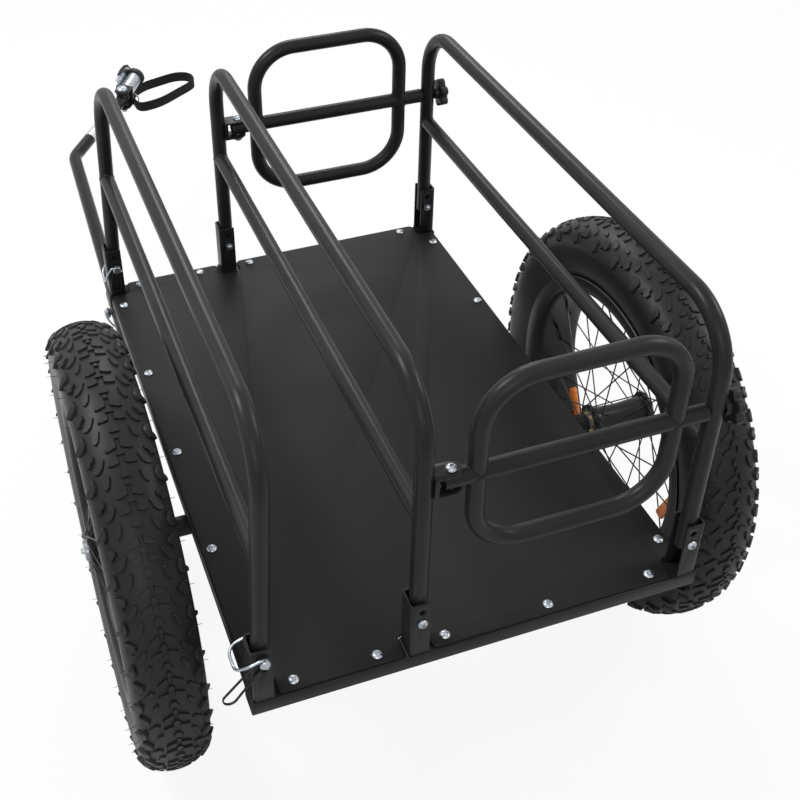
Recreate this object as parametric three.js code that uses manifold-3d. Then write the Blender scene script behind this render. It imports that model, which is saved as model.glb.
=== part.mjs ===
// Cargo bike trailer: a flat deck on a welded frame, three hoop rails, two swing gates, two
// 20 x 4 inch wheels on pull-out axles, and a bent tow bar with a swivelling hitch.
// Millimetres. X to the right, Y forward, Z up, origin at the centre of the deck's top face.
import * as THREE from 'three';
import { mergeVertices } from 'three/addons/utils/BufferGeometryUtils.js';
import Module from 'manifold-3d';

const wasm = await Module();
wasm.setup();

// Clearances shared by all pieces
const seatGap = 0.3; // between pieces that only touch
const boltPlay = 0.4; // radial, round a bolt in its hole
const pinPlay = 0.8; // radial, round a lock pin in its hole
const overrun = 2; // how far a cutter runs past the face it leaves

// Frame of rectangular tube, with the deck panel screwed on it
const frameWidth = 558;
const frameLength = 843;
const frameTubeWidth = 30;
const frameTubeHeight = 20;
const frameTubeWall = 2;
const frameTubeCorner = 2.5;
const crossMemberPlace = 150; // each side of the middle
const deckThickness = 4;
const deckInset = 3;
const notchGap = 6; // deck notch beside a bracket's open side
const notchWebGap = 3; // deck notch beside a bracket's web
const notchRadius = 6;
const plugFlange = 2.5;
const plugDepth = 12;

// Hoop rails of round tube
const railTube = 21.4;
const railWall = 1.5;
const railTopHeight = 368.4;
const railMidHeight = 204.9;
const railBend = 75;
const railFootInset = 15; // post's axis in from the frame's end
const sideRailInset = 14.3; // outer rail's axis in from the frame's side
const middleRailSpacing = 184.4; // from the left rail's axis
const leftRailLean = 2.7; // degrees inboard, taken up by the play at its pins
const footTail = 12; // tube below the lower hole

// Foot brackets, channels that stand on the frame
const bracketDepth = 29;
const bracketWall = 2.5;
const bracketTop = 82;
const bracketWebReach = 14.5; // post axis to the web's outer face
const bracketOpenReach = 10; // post axis to the open edge
const bracketBend = 4;
const lowerHoleHeight = 51;
const upperHoleHeight = 69;

// Foot bolts
const footBolt = 6;
const footBoltHead = 12.5;
const footBoltHeadHeight = 4;
const footBoltNut = 10;
const footBoltNutHeight = 5.5;
const footBoltTail = 2.5;

// Wire-lock pins
const lockPin = 8;
const lockPinHead = 12;
const lockPinHeadLength = 6;
const lockPinNeck = 4; // bare stretch between bracket and head, where the tether loop lies
const lockPinTip = 6.5; // past the far wall
const lockPinNose = 2;
const bailWire = 3.4;
const bailReach = 33;
const bailBend = 14;
const bailTurn = 3.4; // bend where the wire leaves the head
const bailStub = 8.5; // to each side of the head's axis
const bailHook = 3; // far leg past the pin's axis
const tetherWidth = 3;
const tetherThickness = 1.4;
const tetherEnd = 7.5; // radius of the loop's free end
const footTethers = { front: [3.5, 34], rear: [40, 48] }; // reach to the left, drop
const towTether = [30, 22]; // reach to the rear, drop
const footBailTilts = { front: 54, rear: 20 }; // degrees below level
const towBailTilt = 90;

// Gates: a hoop with a crossbar that is bolted in the middle rail's clevises
const gateTube = 21.4;
const gateWall = 1.5;
const gateHeight = 252; // crossbar's axis above the deck
const gateHoopStart = 60.3; // hoop's left side from the middle rail's axis
const gateHoopEnd = 49.7; // hoop's right side short of the right rail's axis
const gateHoopBottom = 138;
const gateHoopTop = 369.5;
const gateBend = 62;
const gatePlay = 0.6; // crossbar end to right post
const gatePivotReach = 30.3; // pivot from the middle rail's axis
const gateTail = 9; // crossbar beyond its pivot
const clevisPlate = 2.5;
const clevisHalfWidth = 12;
const clevisGap = 0.6; // crossbar to flange
const gateBolt = 8;
const gateBoltHead = 13;
const gateBoltHeadHeight = 4.5;
const gateBoltNut = 13;
const gateBoltNutHeight = 5.5;
const gateBoltTail = 3;

// Star knobs
const knobDiameter = 46;
const knobLobes = 6;
const knobLobeRadius = 7;
const knobThickness = 11;
const knobHub = 20;
const knobHubLength = 6;
const knobBolt = 8;
const knobStandOff = 0.4; // hub to post

// Axles
const axlePlace = -100; // along the frame
const axle = 16;
const axleBoreGap = 0.3;
const axleTube = 27;
const axleTubeStub = 30; // tube's end past the frame's side
const axleInsert = 82; // length inside the axle tube
const axleHead = 27;
const axleHeadLength = 6;
const axleShoulder = 23;
const axleShoulderLength = 4.7;
const axleButton = 7.4;
const axleButtonLength = 6.2; // stays inside the axle's head
const axleButtonProud = 4;
const buttonGap = 0.3;

// Wheels, drawn round their own axis with the inboard side at minus X
const wheelOutreach = 82; // centre plane past the frame's side
// Tyre section as radius and half width, from the bead outwards: the skin, then the lining.
const tyreSkin = [
  [204.5, 33.6],
  [214, 36],
  [233, 42.8],
  [255, 44.6],
  [278, 36],
  [290.5, 13]
];
const tyreLining = [
  [205.5, 28],
  [241, 38],
  [274, 26]
];
const wheelSides = 32;
const rimHalfWidth = 40;
const rimFlangeRadius = 213;
const rimWellRadius = 189;
const rimWall = 3;
const rimBevel = 7;
const hubHalfLength = 46.5;
const hubBarrel = 36;
const hubWaist = 33;
const hubWaistReach = 5; // each side of the middle, where the barrel starts to widen
const hubFlange = 49;
const hubFlangePlace = 43;
const hubFlangeThickness = 4;
const hubEnd = 37;
const bearingOuter = 31;
const bearingWidth = 8;
const bearingRecess = 0.5;
const hubSides = 12;
const spokeCount = 36;
const spokeDiameter = 2;
const spokeSides = 4;
const spokeHoleInset = 3; // from the flange's rim
const spokeCross = 60; // degrees that a spoke runs round the hub
const spokeLaceOffset = 1.3; // to each side of the flange's middle, by turns
const spokeRimSpread = 6; // each side of the rim's middle
const bearingRunGap = 0.5;

// Tow bar
const towTube = 23.8;
const towWall = 2;
const towSleeveGap = 0.3;
const towSleeveWall = 1.8;
const towLineInset = 11.8; // tow line in from the frame's side, where its origin lies
const towLineLead = 8.5; // tow line's origin in front of the frame
const towSlant = 1.85; // degrees inboard
const towSleeveLength = 202;
const towSleeveNose = 22; // sleeve in front of the tow line's origin
const towInsert = 170;
const towCorner = 500; // from the tow line's origin to the bend's corner
const towBendAngle = 31;
const towBendRadius = 60;
const towReach = 258; // from the corner to the eye's axis
const towPinPlace = 30; // behind the tow line's origin
const towEye = 26;
const towEyeHeight = 30;

// Hitch
const hitchPin = 8;
const hitchPinHead = 22;
const hitchPinHeadHeight = 8;
const hitchPinTail = 10;
const hitchPinKnob = 12;
const hitchEarThickness = 4;
const hitchEarGap = 0.6;
const hitchEarHalfWidth = 15;
const hitchFaceReach = 17; // eye axis to the back plate
const hitchPlateThickness = 5;
const cupRadius = 15.5;
const cupWall = 3;
const cupLength = 57; // in front of the back plate
const cupHeight = 8.5; // its axis at the back plate
const cupRise = 6.5; // degrees
const cupRimRadius = 20;
const cupRimLength = 10;
const cheekPlace = -19; // outer face
const cheekThickness = 5;
// The cheek's corners, along the hitch and up, from its rear tip.
const cheekCorners = [
  [-4, 16],
  [8, 4],
  [30, 0],
  [74, 4],
  [84, 12],
  [86, 27],
  [77, 37],
  [61, 43],
  [44, 43],
  [28, 39],
  [11, 31]
];
const strapWidth = 21;
const strapThickness = 2.4;
const strapHeight = -20; // middle of the band, from the tow bar's axis
const strapSteps = 28;
const strapRingRadius = 13;
const strapRingWire = 2.6;
const ringTabStart = -13;
const ringTabEnd = -3;
const ringTabReach = 47; // along the hitch
const ringHolePlace = -8.1;
const ringHole = 5;
// The band's middle line seen from above, across and along the hitch from its pin. It starts where
// it runs through the ring, goes round the back plate to the right and comes back under the cup.
const strapLine = [
  [4.5, 40],
  [12, 29],
  [23, 15],
  [36, 9],
  [51.6, 19.1],
  [71.4, 44.8],
  [91.5, 91.9],
  [103.2, 121.7],
  [106.7, 142.5],
  [94.6, 160.1],
  [76.7, 166],
  [53.7, 156.3],
  [27, 126.1],
  [10.1, 103.8],
  [0.8, 79.4],
  [-1, 59]
];

// Roundness
const tubeSides = 10;
const boreSides = 6;
const tubeBendSteps = 3;
const wireSides = 5;
const wireBendSteps = 2;
const plateSteps = 5;
const finishTolerance = 0.02; // slivers thinner than this are closed up
const boltSides = 8;

const degree = Math.PI / 180;
const half = (length) => length / 2;
const railRadius = half(railTube);
const gateRadius = half(gateTube);
const frameTubeTop = -deckThickness;
const frameTubeBottom = frameTubeTop - frameTubeHeight;
const frameHalfWidth = half(frameWidth);
const frameHalfLength = half(frameLength);
const railEnd = frameHalfLength - railFootInset;
const rightRailPlace = frameHalfWidth - sideRailInset;
const leftRailPlace = -rightRailPlace;
const middleRailPlace = leftRailPlace + middleRailSpacing;
const gatePivotPlace = middleRailPlace + gatePivotReach;
const gateHoopLeft = middleRailPlace + gateHoopStart;
const gateHoopRight = rightRailPlace - gateHoopEnd;
const axleTubeReach = frameHalfWidth + axleTubeStub;
const wheelPlace = frameHalfWidth + wheelOutreach;
const towLinePlace = towLineInset - frameHalfWidth;
const towLineFront = frameHalfLength + towLineLead;
const bracketHalfDepth = half(bracketDepth);
const axleHeight = frameTubeBottom - half(axleTube);
const towSleeveRadius = half(towTube) + towSleeveGap + towSleeveWall;
const towHeight = frameTubeBottom - towSleeveRadius;

const paints = {
  powderCoat: [0x17181a, 0.45, 0.3],
  deck: [0x1b1b1d, 0.4, 0],
  zinc: [0xc9ccd1, 0.3, 0.9],
  plastic: [0x101011, 0.6, 0],
  rubber: [0x141414, 0.9, 0],
  alloy: [0x16171a, 0.35, 0.5],
  bearing: [0xb59a5a, 0.35, 0.8],
  webbing: [0x0f0f10, 0.95, 0]
};

const point = (x, y, z) => new THREE.Vector3(x, y, z);
const flat = (x, y) => new THREE.Vector2(x, y);
const alongX = point(1, 0, 0);
const alongY = point(0, 1, 0);
const alongZ = point(0, 0, 1);

// A closed triangle mesh becomes a solid, turned right side out where it was inside out.
function toSolid(geometry) {
  const bare = geometry.clone();
  bare.deleteAttribute('normal');
  bare.deleteAttribute('uv');
  const merged = mergeVertices(bare);
  const corners = Array.from(merged.index.array);
  const faces = [];
  for (let i = 0; i < corners.length; i += 3) {
    const [a, b, c] = corners.slice(i, i + 3);
    if (a !== b && b !== c && c !== a) faces.push([a, b, c]);
  }
  const build = (list) => new wasm.Manifold(new wasm.Mesh({
    numProp: 3,
    vertProperties: new Float32Array(merged.attributes.position.array),
    triVerts: new Uint32Array(list.flat())
  }));
  const solid = build(faces);
  return solid.volume() > 0 ? solid : build(faces.map(([a, b, c]) => [a, c, b]));
}

function toGeometry(solid) {
  const mesh = solid.getMesh();
  const geometry = new THREE.BufferGeometry();
  geometry.setAttribute('position', new THREE.BufferAttribute(mesh.vertProperties, 3));
  geometry.setIndex(new THREE.BufferAttribute(mesh.triVerts, 1));
  geometry.computeVertexNormals();
  return geometry;
}

const join = (...solids) => solids.reduce((sum, next) => sum.add(next));
const cut = (body, ...tools) => tools.reduce((rest, tool) => rest.subtract(tool), body);

function piece(name, solid, paint) {
  const [color, roughness, metalness] = paints[paint];
  const material = new THREE.MeshStandardMaterial({ color, roughness, metalness });
  const mesh = new THREE.Mesh(toGeometry(solid.simplify(finishTolerance)), material);
  mesh.name = name;
  return mesh;
}

// A box between two corners.
function block(low, high) {
  const size = high.clone().sub(low);
  const geometry = new THREE.BoxGeometry(size.x, size.y, size.z);
  geometry.translate(...low.clone().add(high).multiplyScalar(1 / 2).toArray());
  return toSolid(geometry);
}

// A round bar between two points.
function rod(from, to, radius, sides = boltSides) {
  const axis = to.clone().sub(from);
  const outline = new THREE.Shape(circlePoints(radius, sides));
  const geometry = new THREE.ExtrudeGeometry(outline, { depth: axis.length(), bevelEnabled: false });
  geometry.applyQuaternion(new THREE.Quaternion().setFromUnitVectors(alongZ, axis.clone().normalize()));
  geometry.translate(from.x, from.y, from.z);
  return toSolid(geometry);
}

// The corners of a drill stand outside its radius, so that its flats leave the whole bore free.
const roundness = (sides) => Math.cos(Math.PI / sides);
const drill = (from, to, radius, sides = boltSides) => rod(from, to, radius / roundness(sides), sides);

// A flat outline pushed along a direction: the outline's x runs along across, its y along up.
function plate(outline, from, across, up, thickness) {
  const options = { depth: thickness, bevelEnabled: false, curveSegments: plateSteps };
  const geometry = new THREE.ExtrudeGeometry(outline, options);
  const out = across.clone().cross(up);
  geometry.applyMatrix4(new THREE.Matrix4().makeBasis(across, up, out).setPosition(from));
  return toSolid(geometry);
}

// A profile of (radius, place along the axis) turned about X.
function turned(profile, sides) {
  const geometry = new THREE.LatheGeometry(profile, sides);
  geometry.rotateZ(-Math.PI / 2);
  return toSolid(geometry);
}

// A closed outline whose corners are rounded, each by its own radius.
function roundedOutline(corners, radii, steps = 4) {
  const count = corners.length;
  const points = [];
  corners.forEach((corner, i) => {
    const radius = Array.isArray(radii) ? radii[i] : radii;
    const before = corners[(i + count - 1) % count].clone().sub(corner).normalize();
    const after = corners[(i + 1) % count].clone().sub(corner).normalize();
    const opening = Math.acos(THREE.MathUtils.clamp(before.dot(after), -1, 1));
    if (radius === 0) {
      points.push(corner.clone());
      return;
    }
    const reach = radius / Math.tan(opening / 2);
    const middle = before.clone().add(after).normalize();
    const centre = corner.clone().addScaledVector(middle, radius / Math.sin(opening / 2));
    const start = corner.clone().addScaledVector(before, reach).sub(centre);
    const end = corner.clone().addScaledVector(after, reach).sub(centre);
    const sweep = Math.atan2(start.cross(end), start.dot(end));
    for (let k = 0; k <= steps; k += 1) {
      const spoke = start.clone().rotateAround(flat(0, 0), sweep * k / steps);
      points.push(spoke.add(centre));
    }
  });
  return points;
}

function boxCorners(halfWidth, halfHeight) {
  return [
    flat(-halfWidth, -halfHeight),
    flat(halfWidth, -halfHeight),
    flat(halfWidth, halfHeight),
    flat(-halfWidth, halfHeight)
  ];
}

function circlePoints(radius, sides) {
  const points = [];
  for (let k = 0; k < sides; k += 1) {
    const angle = 2 * Math.PI * (k + 1 / 2) / sides;
    points.push(flat(radius * Math.cos(angle), radius * Math.sin(angle)));
  }
  return points;
}

// A curve that passes exactly through a list of stations, each with its own direction.
class StationCurve extends THREE.Curve {
  constructor(stations) {
    super();
    this.stations = stations;
  }

  station(share) {
    return this.stations[Math.round(share * (this.stations.length - 1))];
  }

  getPointAt(share) {
    return this.station(share).place.clone();
  }

  getTangentAt(share) {
    return this.station(share).heading.clone();
  }
}

// Straight runs between corners, the corners rounded to one radius or each to its own.
function bentRoute(corners, radii, steps = tubeBendSteps) {
  const heading = (i) => corners[i + 1].clone().sub(corners[i]).normalize();
  const last = corners.length - 1;
  const stations = [{ place: corners[0].clone(), heading: heading(0) }];
  for (let i = 1; i < last; i += 1) {
    const into = heading(i - 1);
    const away = heading(i);
    const turn = into.angleTo(away);
    const radius = Array.isArray(radii) ? radii[i - 1] : radii;
    const start = corners[i].clone().addScaledVector(into, -radius * Math.tan(turn / 2));
    const axis = into.clone().cross(away).normalize();
    const centre = start.clone().addScaledVector(axis.clone().cross(into), radius);
    for (let k = 0; k <= steps; k += 1) {
      const angle = turn * k / steps;
      const place = start.clone().sub(centre).applyAxisAngle(axis, angle).add(centre);
      stations.push({ place, heading: into.clone().applyAxisAngle(axis, angle) });
    }
  }
  stations.push({ place: corners[last].clone(), heading: heading(last - 1) });
  return stations;
}

function sweep(outlinePoints, stations) {
  const geometry = new THREE.ExtrudeGeometry(new THREE.Shape(outlinePoints), {
    steps: stations.length - 1,
    extrudePath: new StationCurve(stations),
    bevelEnabled: false
  });
  return toSolid(geometry);
}

// The same corners, run on past both ends.
function lengthened(corners, extra) {
  const last = corners.length - 1;
  const first = corners[0].clone().sub(corners[1]).setLength(extra).add(corners[0]);
  const end = corners[last].clone().sub(corners[last - 1]).setLength(extra).add(corners[last]);
  return [first, ...corners.slice(1, last), end];
}

const bar = (corners, radius, bend, sides = tubeSides) =>
  sweep(circlePoints(radius, sides), bentRoute(corners, bend));

const bore = (corners, radius, bend) =>
  sweep(circlePoints(radius, boreSides), bentRoute(lengthened(corners, overrun), bend));

// A hexagon nut or a round head on an axis.
const nut = (from, to, acrossFlats) => rod(from, to, acrossFlats / Math.sqrt(3), 6);

const offset = (from, direction, distance) => from.clone().addScaledVector(direction, distance);

// Frame

function frameTubeOutline() {
  const outer = boxCorners(half(frameTubeWidth), half(frameTubeHeight));
  const inner = boxCorners(half(frameTubeWidth) - frameTubeWall, half(frameTubeHeight) - frameTubeWall);
  const shape = new THREE.Shape(roundedOutline(outer, frameTubeCorner, 2));
  shape.holes.push(new THREE.Path(inner));
  return shape;
}

function frameTubeAcross(place, halfLength) {
  const from = point(-halfLength, place, frameTubeTop - half(frameTubeHeight));
  return plate(frameTubeOutline(), from, alongY, alongZ, 2 * halfLength);
}

function frameTubeAlong(place) {
  const inner = frameHalfLength - frameTubeWidth;
  const from = point(place, inner, frameTubeTop - half(frameTubeHeight));
  return plate(frameTubeOutline(), from, alongX, alongZ, 2 * inner);
}

function endPlug(side) {
  const inside = half(frameTubeHeight) - frameTubeWall - seatGap;
  const across = half(frameTubeWidth) - frameTubeWall - seatGap;
  const flange = roundedOutline(boxCorners(half(frameTubeWidth), half(frameTubeHeight)), frameTubeCorner, 2);
  const centre = point(0, 0, frameTubeTop - half(frameTubeHeight));
  const cap = plate(new THREE.Shape(flange), centre, alongY, alongZ, plugFlange);
  const stemShape = new THREE.Shape(boxCorners(across, inside));
  const stem = plate(stemShape, offset(centre, alongX, -plugDepth), alongY, alongZ, plugDepth);
  const plug = join(cap, stem);
  return side > 0 ? plug : plug.mirror([1, 0, 0]);
}

function addFrame(trailer) {
  const endPlace = frameHalfLength - half(frameTubeWidth);
  const sidePlace = frameHalfWidth - half(frameTubeWidth);
  const crossHalf = frameHalfWidth - frameTubeWidth;
  trailer.add(piece('frame_front_tube', frameTubeAcross(endPlace, frameHalfWidth), 'powderCoat'));
  trailer.add(piece('frame_rear_tube', frameTubeAcross(-endPlace, frameHalfWidth), 'powderCoat'));
  trailer.add(piece('frame_left_tube', frameTubeAlong(-sidePlace), 'powderCoat'));
  trailer.add(piece('frame_right_tube', frameTubeAlong(sidePlace), 'powderCoat'));
  trailer.add(piece('frame_cross_front', frameTubeAcross(crossMemberPlace, crossHalf), 'powderCoat'));
  trailer.add(piece('frame_cross_rear', frameTubeAcross(-crossMemberPlace, crossHalf), 'powderCoat'));
  for (const [end, place] of [['front', endPlace], ['rear', -endPlace]]) {
    for (const [hand, side] of [['left', -1], ['right', 1]]) {
      const plug = piece(`end_plug_${end}_${hand}`, endPlug(side), 'plastic');
      plug.position.set(side * frameHalfWidth, place, 0);
      trailer.add(plug);
    }
  }
  const tubeEnds = [point(-axleTubeReach, axlePlace, axleHeight), point(axleTubeReach, axlePlace, axleHeight)];
  const tube = cut(rod(...tubeEnds, half(axleTube), hubSides),
    drill(...lengthened(tubeEnds, overrun), half(axle) + axleBoreGap, hubSides));
  trailer.add(piece('axle_cross_tube', tube, 'powderCoat'));
}

// The deck's outline runs round the foot brackets in notches with rounded corners.
function addDeck(trailer) {
  const halfWidth = frameHalfWidth - deckInset;
  const end = frameHalfLength - deckInset;
  const notchEnd = railEnd - bracketHalfDepth - notchWebGap;
  const leftNotch = leftRailPlace + bracketOpenReach + notchGap;
  const rightNotch = rightRailPlace - bracketOpenReach - notchGap;
  const middleNotch = [
    middleRailPlace - bracketWebReach - notchWebGap,
    middleRailPlace + bracketOpenReach + notchGap
  ];
  const edge = [
    [rightNotch, end],
    [middleNotch[1], end],
    [middleNotch[1], notchEnd],
    [middleNotch[0], notchEnd],
    [middleNotch[0], end],
    [leftNotch, end],
    [leftNotch, notchEnd],
    [-halfWidth, notchEnd]
  ];
  const front = [[halfWidth, notchEnd], [rightNotch, notchEnd], ...edge];
  const corners = [...front, ...[...front].reverse().map(([x, y]) => [x, -y])];
  const outline = roundedOutline(corners.map(([x, y]) => flat(x, y)), notchRadius, 2);
  const from = point(0, 0, -deckThickness);
  const panel = plate(new THREE.Shape(outline), from, alongX, alongY, deckThickness);
  trailer.add(piece('deck_panel', panel, 'deck'));
}

// Foot brackets

// A channel seen from above: its web stands on the side given, the other side is open.
function footBracket(webSide) {
  const depth = bracketHalfDepth;
  const inner = depth - bracketWall;
  const web = -bracketWebReach;
  const corners = [
    flat(bracketOpenReach, -depth),
    flat(web, -depth),
    flat(web, depth),
    flat(bracketOpenReach, depth),
    flat(bracketOpenReach, inner),
    flat(web + bracketWall, inner),
    flat(web + bracketWall, -inner),
    flat(bracketOpenReach, -inner)
  ];
  const bend = bracketBend - bracketWall;
  const outline = roundedOutline(corners, [0, bracketBend, bracketBend, 0, 0, bend, bend, 0], 2);
  const height = bracketTop - frameTubeTop;
  const channel = plate(new THREE.Shape(outline), point(0, 0, frameTubeTop), alongX, alongY, height);
  const hole = (z, radius) => drill(point(0, -depth - overrun, z), point(0, depth + overrun, z), radius);
  const body = cut(channel, hole(lowerHoleHeight, half(lockPin) + seatGap),
    hole(upperHoleHeight, half(lockPin) + seatGap));
  return webSide < 0 ? body : body.mirror([1, 0, 0]);
}

function footBoltSolid(side) {
  const wall = bracketHalfDepth + seatGap;
  const z = lowerHoleHeight;
  const head = rod(point(0, wall, z), point(0, wall + footBoltHeadHeight, z), half(footBoltHead));
  const nutEnd = wall + footBoltNutHeight;
  const shank = rod(point(0, wall + half(footBoltHeadHeight), z), point(0, -nutEnd - footBoltTail, z), half(footBolt));
  const bolt = join(head, shank, nut(point(0, -wall, z), point(0, -nutEnd, z), footBoltNut));
  return side > 0 ? bolt : bolt.mirror([0, 1, 0]);
}

const rails = [
  { name: 'left', place: leftRailPlace, webSide: -1 },
  { name: 'middle', place: middleRailPlace, webSide: -1 },
  { name: 'right', place: rightRailPlace, webSide: 1 }
];

function addFeet(trailer) {
  for (const rail of rails) {
    for (const [end, side] of [['front', 1], ['rear', -1]]) {
      const bracket = piece(`foot_bracket_${rail.name}_${end}`, footBracket(rail.webSide), 'powderCoat');
      bracket.position.set(rail.place, side * railEnd, 0);
      trailer.add(bracket);
      if (rail.name !== 'left') {
        const bolt = piece(`foot_bolt_${rail.name}_${end}`, footBoltSolid(side), 'zinc');
        bolt.position.set(rail.place, side * railEnd, 0);
        trailer.add(bolt);
      }
    }
  }
}

// Rails

const hoopCorners = () => {
  const foot = lowerHoleHeight - footTail;
  return [
    point(0, railEnd, foot),
    point(0, railEnd, railTopHeight),
    point(0, -railEnd, railTopHeight),
    point(0, -railEnd, foot)
  ];
};

// The hoop and its middle bar are welded, and hollow right through.
function railSolid(additions = [], holes = []) {
  const middleBar = [point(0, railEnd, railMidHeight), point(0, -railEnd, railMidHeight)];
  const skin = join(bar(hoopCorners(), railRadius, railBend), rod(...middleBar, railRadius, tubeSides), ...additions);
  const inner = railRadius - railWall;
  const hollow = join(bore(hoopCorners(), inner, railBend), rod(...middleBar, inner, boreSides));
  return cut(skin, hollow, ...holes);
}

function footHoles(front, rear, radius) {
  const across = (y, z) => drill(point(0, y - railTube, z), point(0, y + railTube, z), radius);
  return [across(railEnd, front), across(-railEnd, rear)];
}

// A gate clevis: a channel with round flange ends, welded to the post.
function clevisSolid(side) {
  const reach = gatePivotPlace - middleRailPlace;
  const y = side * railEnd;
  const inner = gateRadius + clevisGap;
  const outer = inner + clevisPlate;
  const flange = new THREE.Shape();
  flange.moveTo(0, -clevisHalfWidth);
  flange.lineTo(reach, -clevisHalfWidth);
  flange.absarc(reach, 0, clevisHalfWidth, -Math.PI / 2, Math.PI / 2, false);
  flange.lineTo(0, clevisHalfWidth);
  const channel = plate(flange, point(0, y, gateHeight - outer), alongX, alongY, 2 * outer);
  const slot = block(
    point(railRadius + clevisPlate, y - 2 * clevisHalfWidth, gateHeight - inner),
    point(reach + 2 * clevisHalfWidth, y + 2 * clevisHalfWidth, gateHeight + inner)
  );
  const low = point(reach, y, gateHeight - outer - overrun);
  const high = point(reach, y, gateHeight + outer + overrun);
  return cut(channel, slot, drill(low, high, half(gateBolt) + boltPlay));
}

function addRails(trailer) {
  const pinHole = half(lockPin) + pinPlay;
  const left = railSolid([], footHoles(lowerHoleHeight, upperHoleHeight, pinHole));
  const lean = new THREE.Group();
  const pivot = half(lowerHoleHeight + upperHoleHeight);
  lean.position.set(leftRailPlace, 0, pivot);
  lean.rotation.y = leftRailLean * degree;
  const leftRail = piece('rail_left', left, 'powderCoat');
  leftRail.position.z = -pivot;
  lean.add(leftRail);
  trailer.add(lean);

  const boltHole = half(footBolt) + boltPlay;
  const feet = footHoles(lowerHoleHeight, lowerHoleHeight, boltHole);
  const middle = railSolid([clevisSolid(1), clevisSolid(-1)], feet);
  const middleRail = piece('rail_middle', middle, 'powderCoat');
  middleRail.position.x = middleRailPlace;
  trailer.add(middleRail);

  const knobHole = (y) => drill(point(-railTube, y, gateHeight), point(railTube, y, gateHeight),
    half(knobBolt) + boltPlay);
  const right = railSolid([], [...feet, knobHole(railEnd), knobHole(-railEnd)]);
  const rightRail = piece('rail_right', right, 'powderCoat');
  rightRail.position.x = rightRailPlace;
  trailer.add(rightRail);
}

// Lock pins, drawn along Y from the head to the nose

// The pin's places along its axis, from the middle of what it passes through.
const pinPlaces = (halfGrip) => {
  const neck = -halfGrip - lockPinNeck;
  const headEnd = neck - lockPinHeadLength;
  return { neck, headEnd, hinge: half(neck + headEnd), nose: halfGrip + lockPinTip };
};

function lockPinSolid(halfGrip) {
  const { neck, headEnd, hinge, nose } = pinPlaces(halfGrip);
  const shank = rod(point(0, neck - overrun, 0), point(0, nose - lockPinNose, 0), half(lockPin));
  const tip = new THREE.CylinderGeometry(half(lockPin) - lockPinNose, half(lockPin), lockPinNose, boltSides);
  tip.translate(0, nose - half(lockPinNose), 0);
  const head = rod(point(0, headEnd, 0), point(0, neck, 0), half(lockPinHead));
  const crossHole = drill(point(0, hinge, -lockPinHead), point(0, hinge, lockPinHead), half(bailWire) + seatGap);
  return cut(join(shank, toSolid(tip), head), crossHole);
}

// The bail: one leg turns in the head's cross hole, the other lies in front of the nose.
// It bulges towards minus X in the pin's own frame.
function bailSolid(halfGrip) {
  const { hinge, nose } = pinPlaces(halfGrip);
  const far = nose + half(bailWire) + 2 * seatGap;
  const corners = [
    point(0, hinge, -bailStub),
    point(0, hinge, bailStub),
    point(-bailReach / 2, hinge, bailStub),
    point(-bailReach, half(hinge), 0),
    point(-bailReach, far, 0),
    point(bailHook, far, 0)
  ];
  const radii = [bailTurn, bailBend, bailBend, bailBend];
  return sweep(circlePoints(half(bailWire), wireSides), bentRoute(corners, radii, wireBendSteps));
}

// A drop-shaped loop of flat band that hangs from the pin's neck towards a free end.
function tetherSolid(halfGrip, reach, drop) {
  const start = half(lockPin) + seatGap;
  const angle = Math.atan2(-drop, -reach);
  const length = Math.hypot(reach, drop);
  const loop = (extra) => {
    const tilt = Math.asin((tetherEnd - start) / length);
    const points = [];
    const steps = 6;
    for (let k = 0; k <= steps; k += 1) {
      const turn = Math.PI / 2 + tilt + (Math.PI - 2 * tilt) * k / steps;
      points.push(flat((start + extra) * Math.cos(turn), (start + extra) * Math.sin(turn)));
    }
    for (let k = 0; k <= steps; k += 1) {
      const turn = -Math.PI / 2 - tilt + (Math.PI + 2 * tilt) * k / steps;
      const radius = tetherEnd + extra;
      points.push(flat(length + radius * Math.cos(turn), radius * Math.sin(turn)));
    }
    return points.map((spot) => spot.rotateAround(flat(0, 0), angle));
  };
  const shape = new THREE.Shape(loop(tetherThickness));
  shape.holes.push(new THREE.Path(loop(0)));
  const near = -halfGrip - half(lockPinNeck + tetherWidth);
  return plate(shape, point(0, near + tetherWidth, 0), alongX, alongZ, tetherWidth);
}

function addLockPin(carrier, name, halfGrip, tilt, tetherReach, tetherDrop) {
  carrier.add(piece(`lock_pin_${name}`, lockPinSolid(halfGrip), 'zinc'));
  const bail = piece(`pin_bail_${name}`, bailSolid(halfGrip), 'zinc');
  bail.rotation.y = -tilt * degree;
  carrier.children[0].rotation.y = -tilt * degree;
  carrier.add(bail);
  carrier.add(piece(`pin_tether_${name}`, tetherSolid(halfGrip, tetherReach, tetherDrop), 'plastic'));
}

function addFootPins(trailer) {
  for (const [end, side, height] of [['front', 1, lowerHoleHeight], ['rear', -1, upperHoleHeight]]) {
    const carrier = new THREE.Group();
    carrier.position.set(leftRailPlace, side * railEnd, height);
    const [reach, drop] = footTethers[end];
    addLockPin(carrier, `left_${end}`, bracketHalfDepth, footBailTilts[end], reach, drop);
    trailer.add(carrier);
  }
}

// Gates, drawn in place

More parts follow.
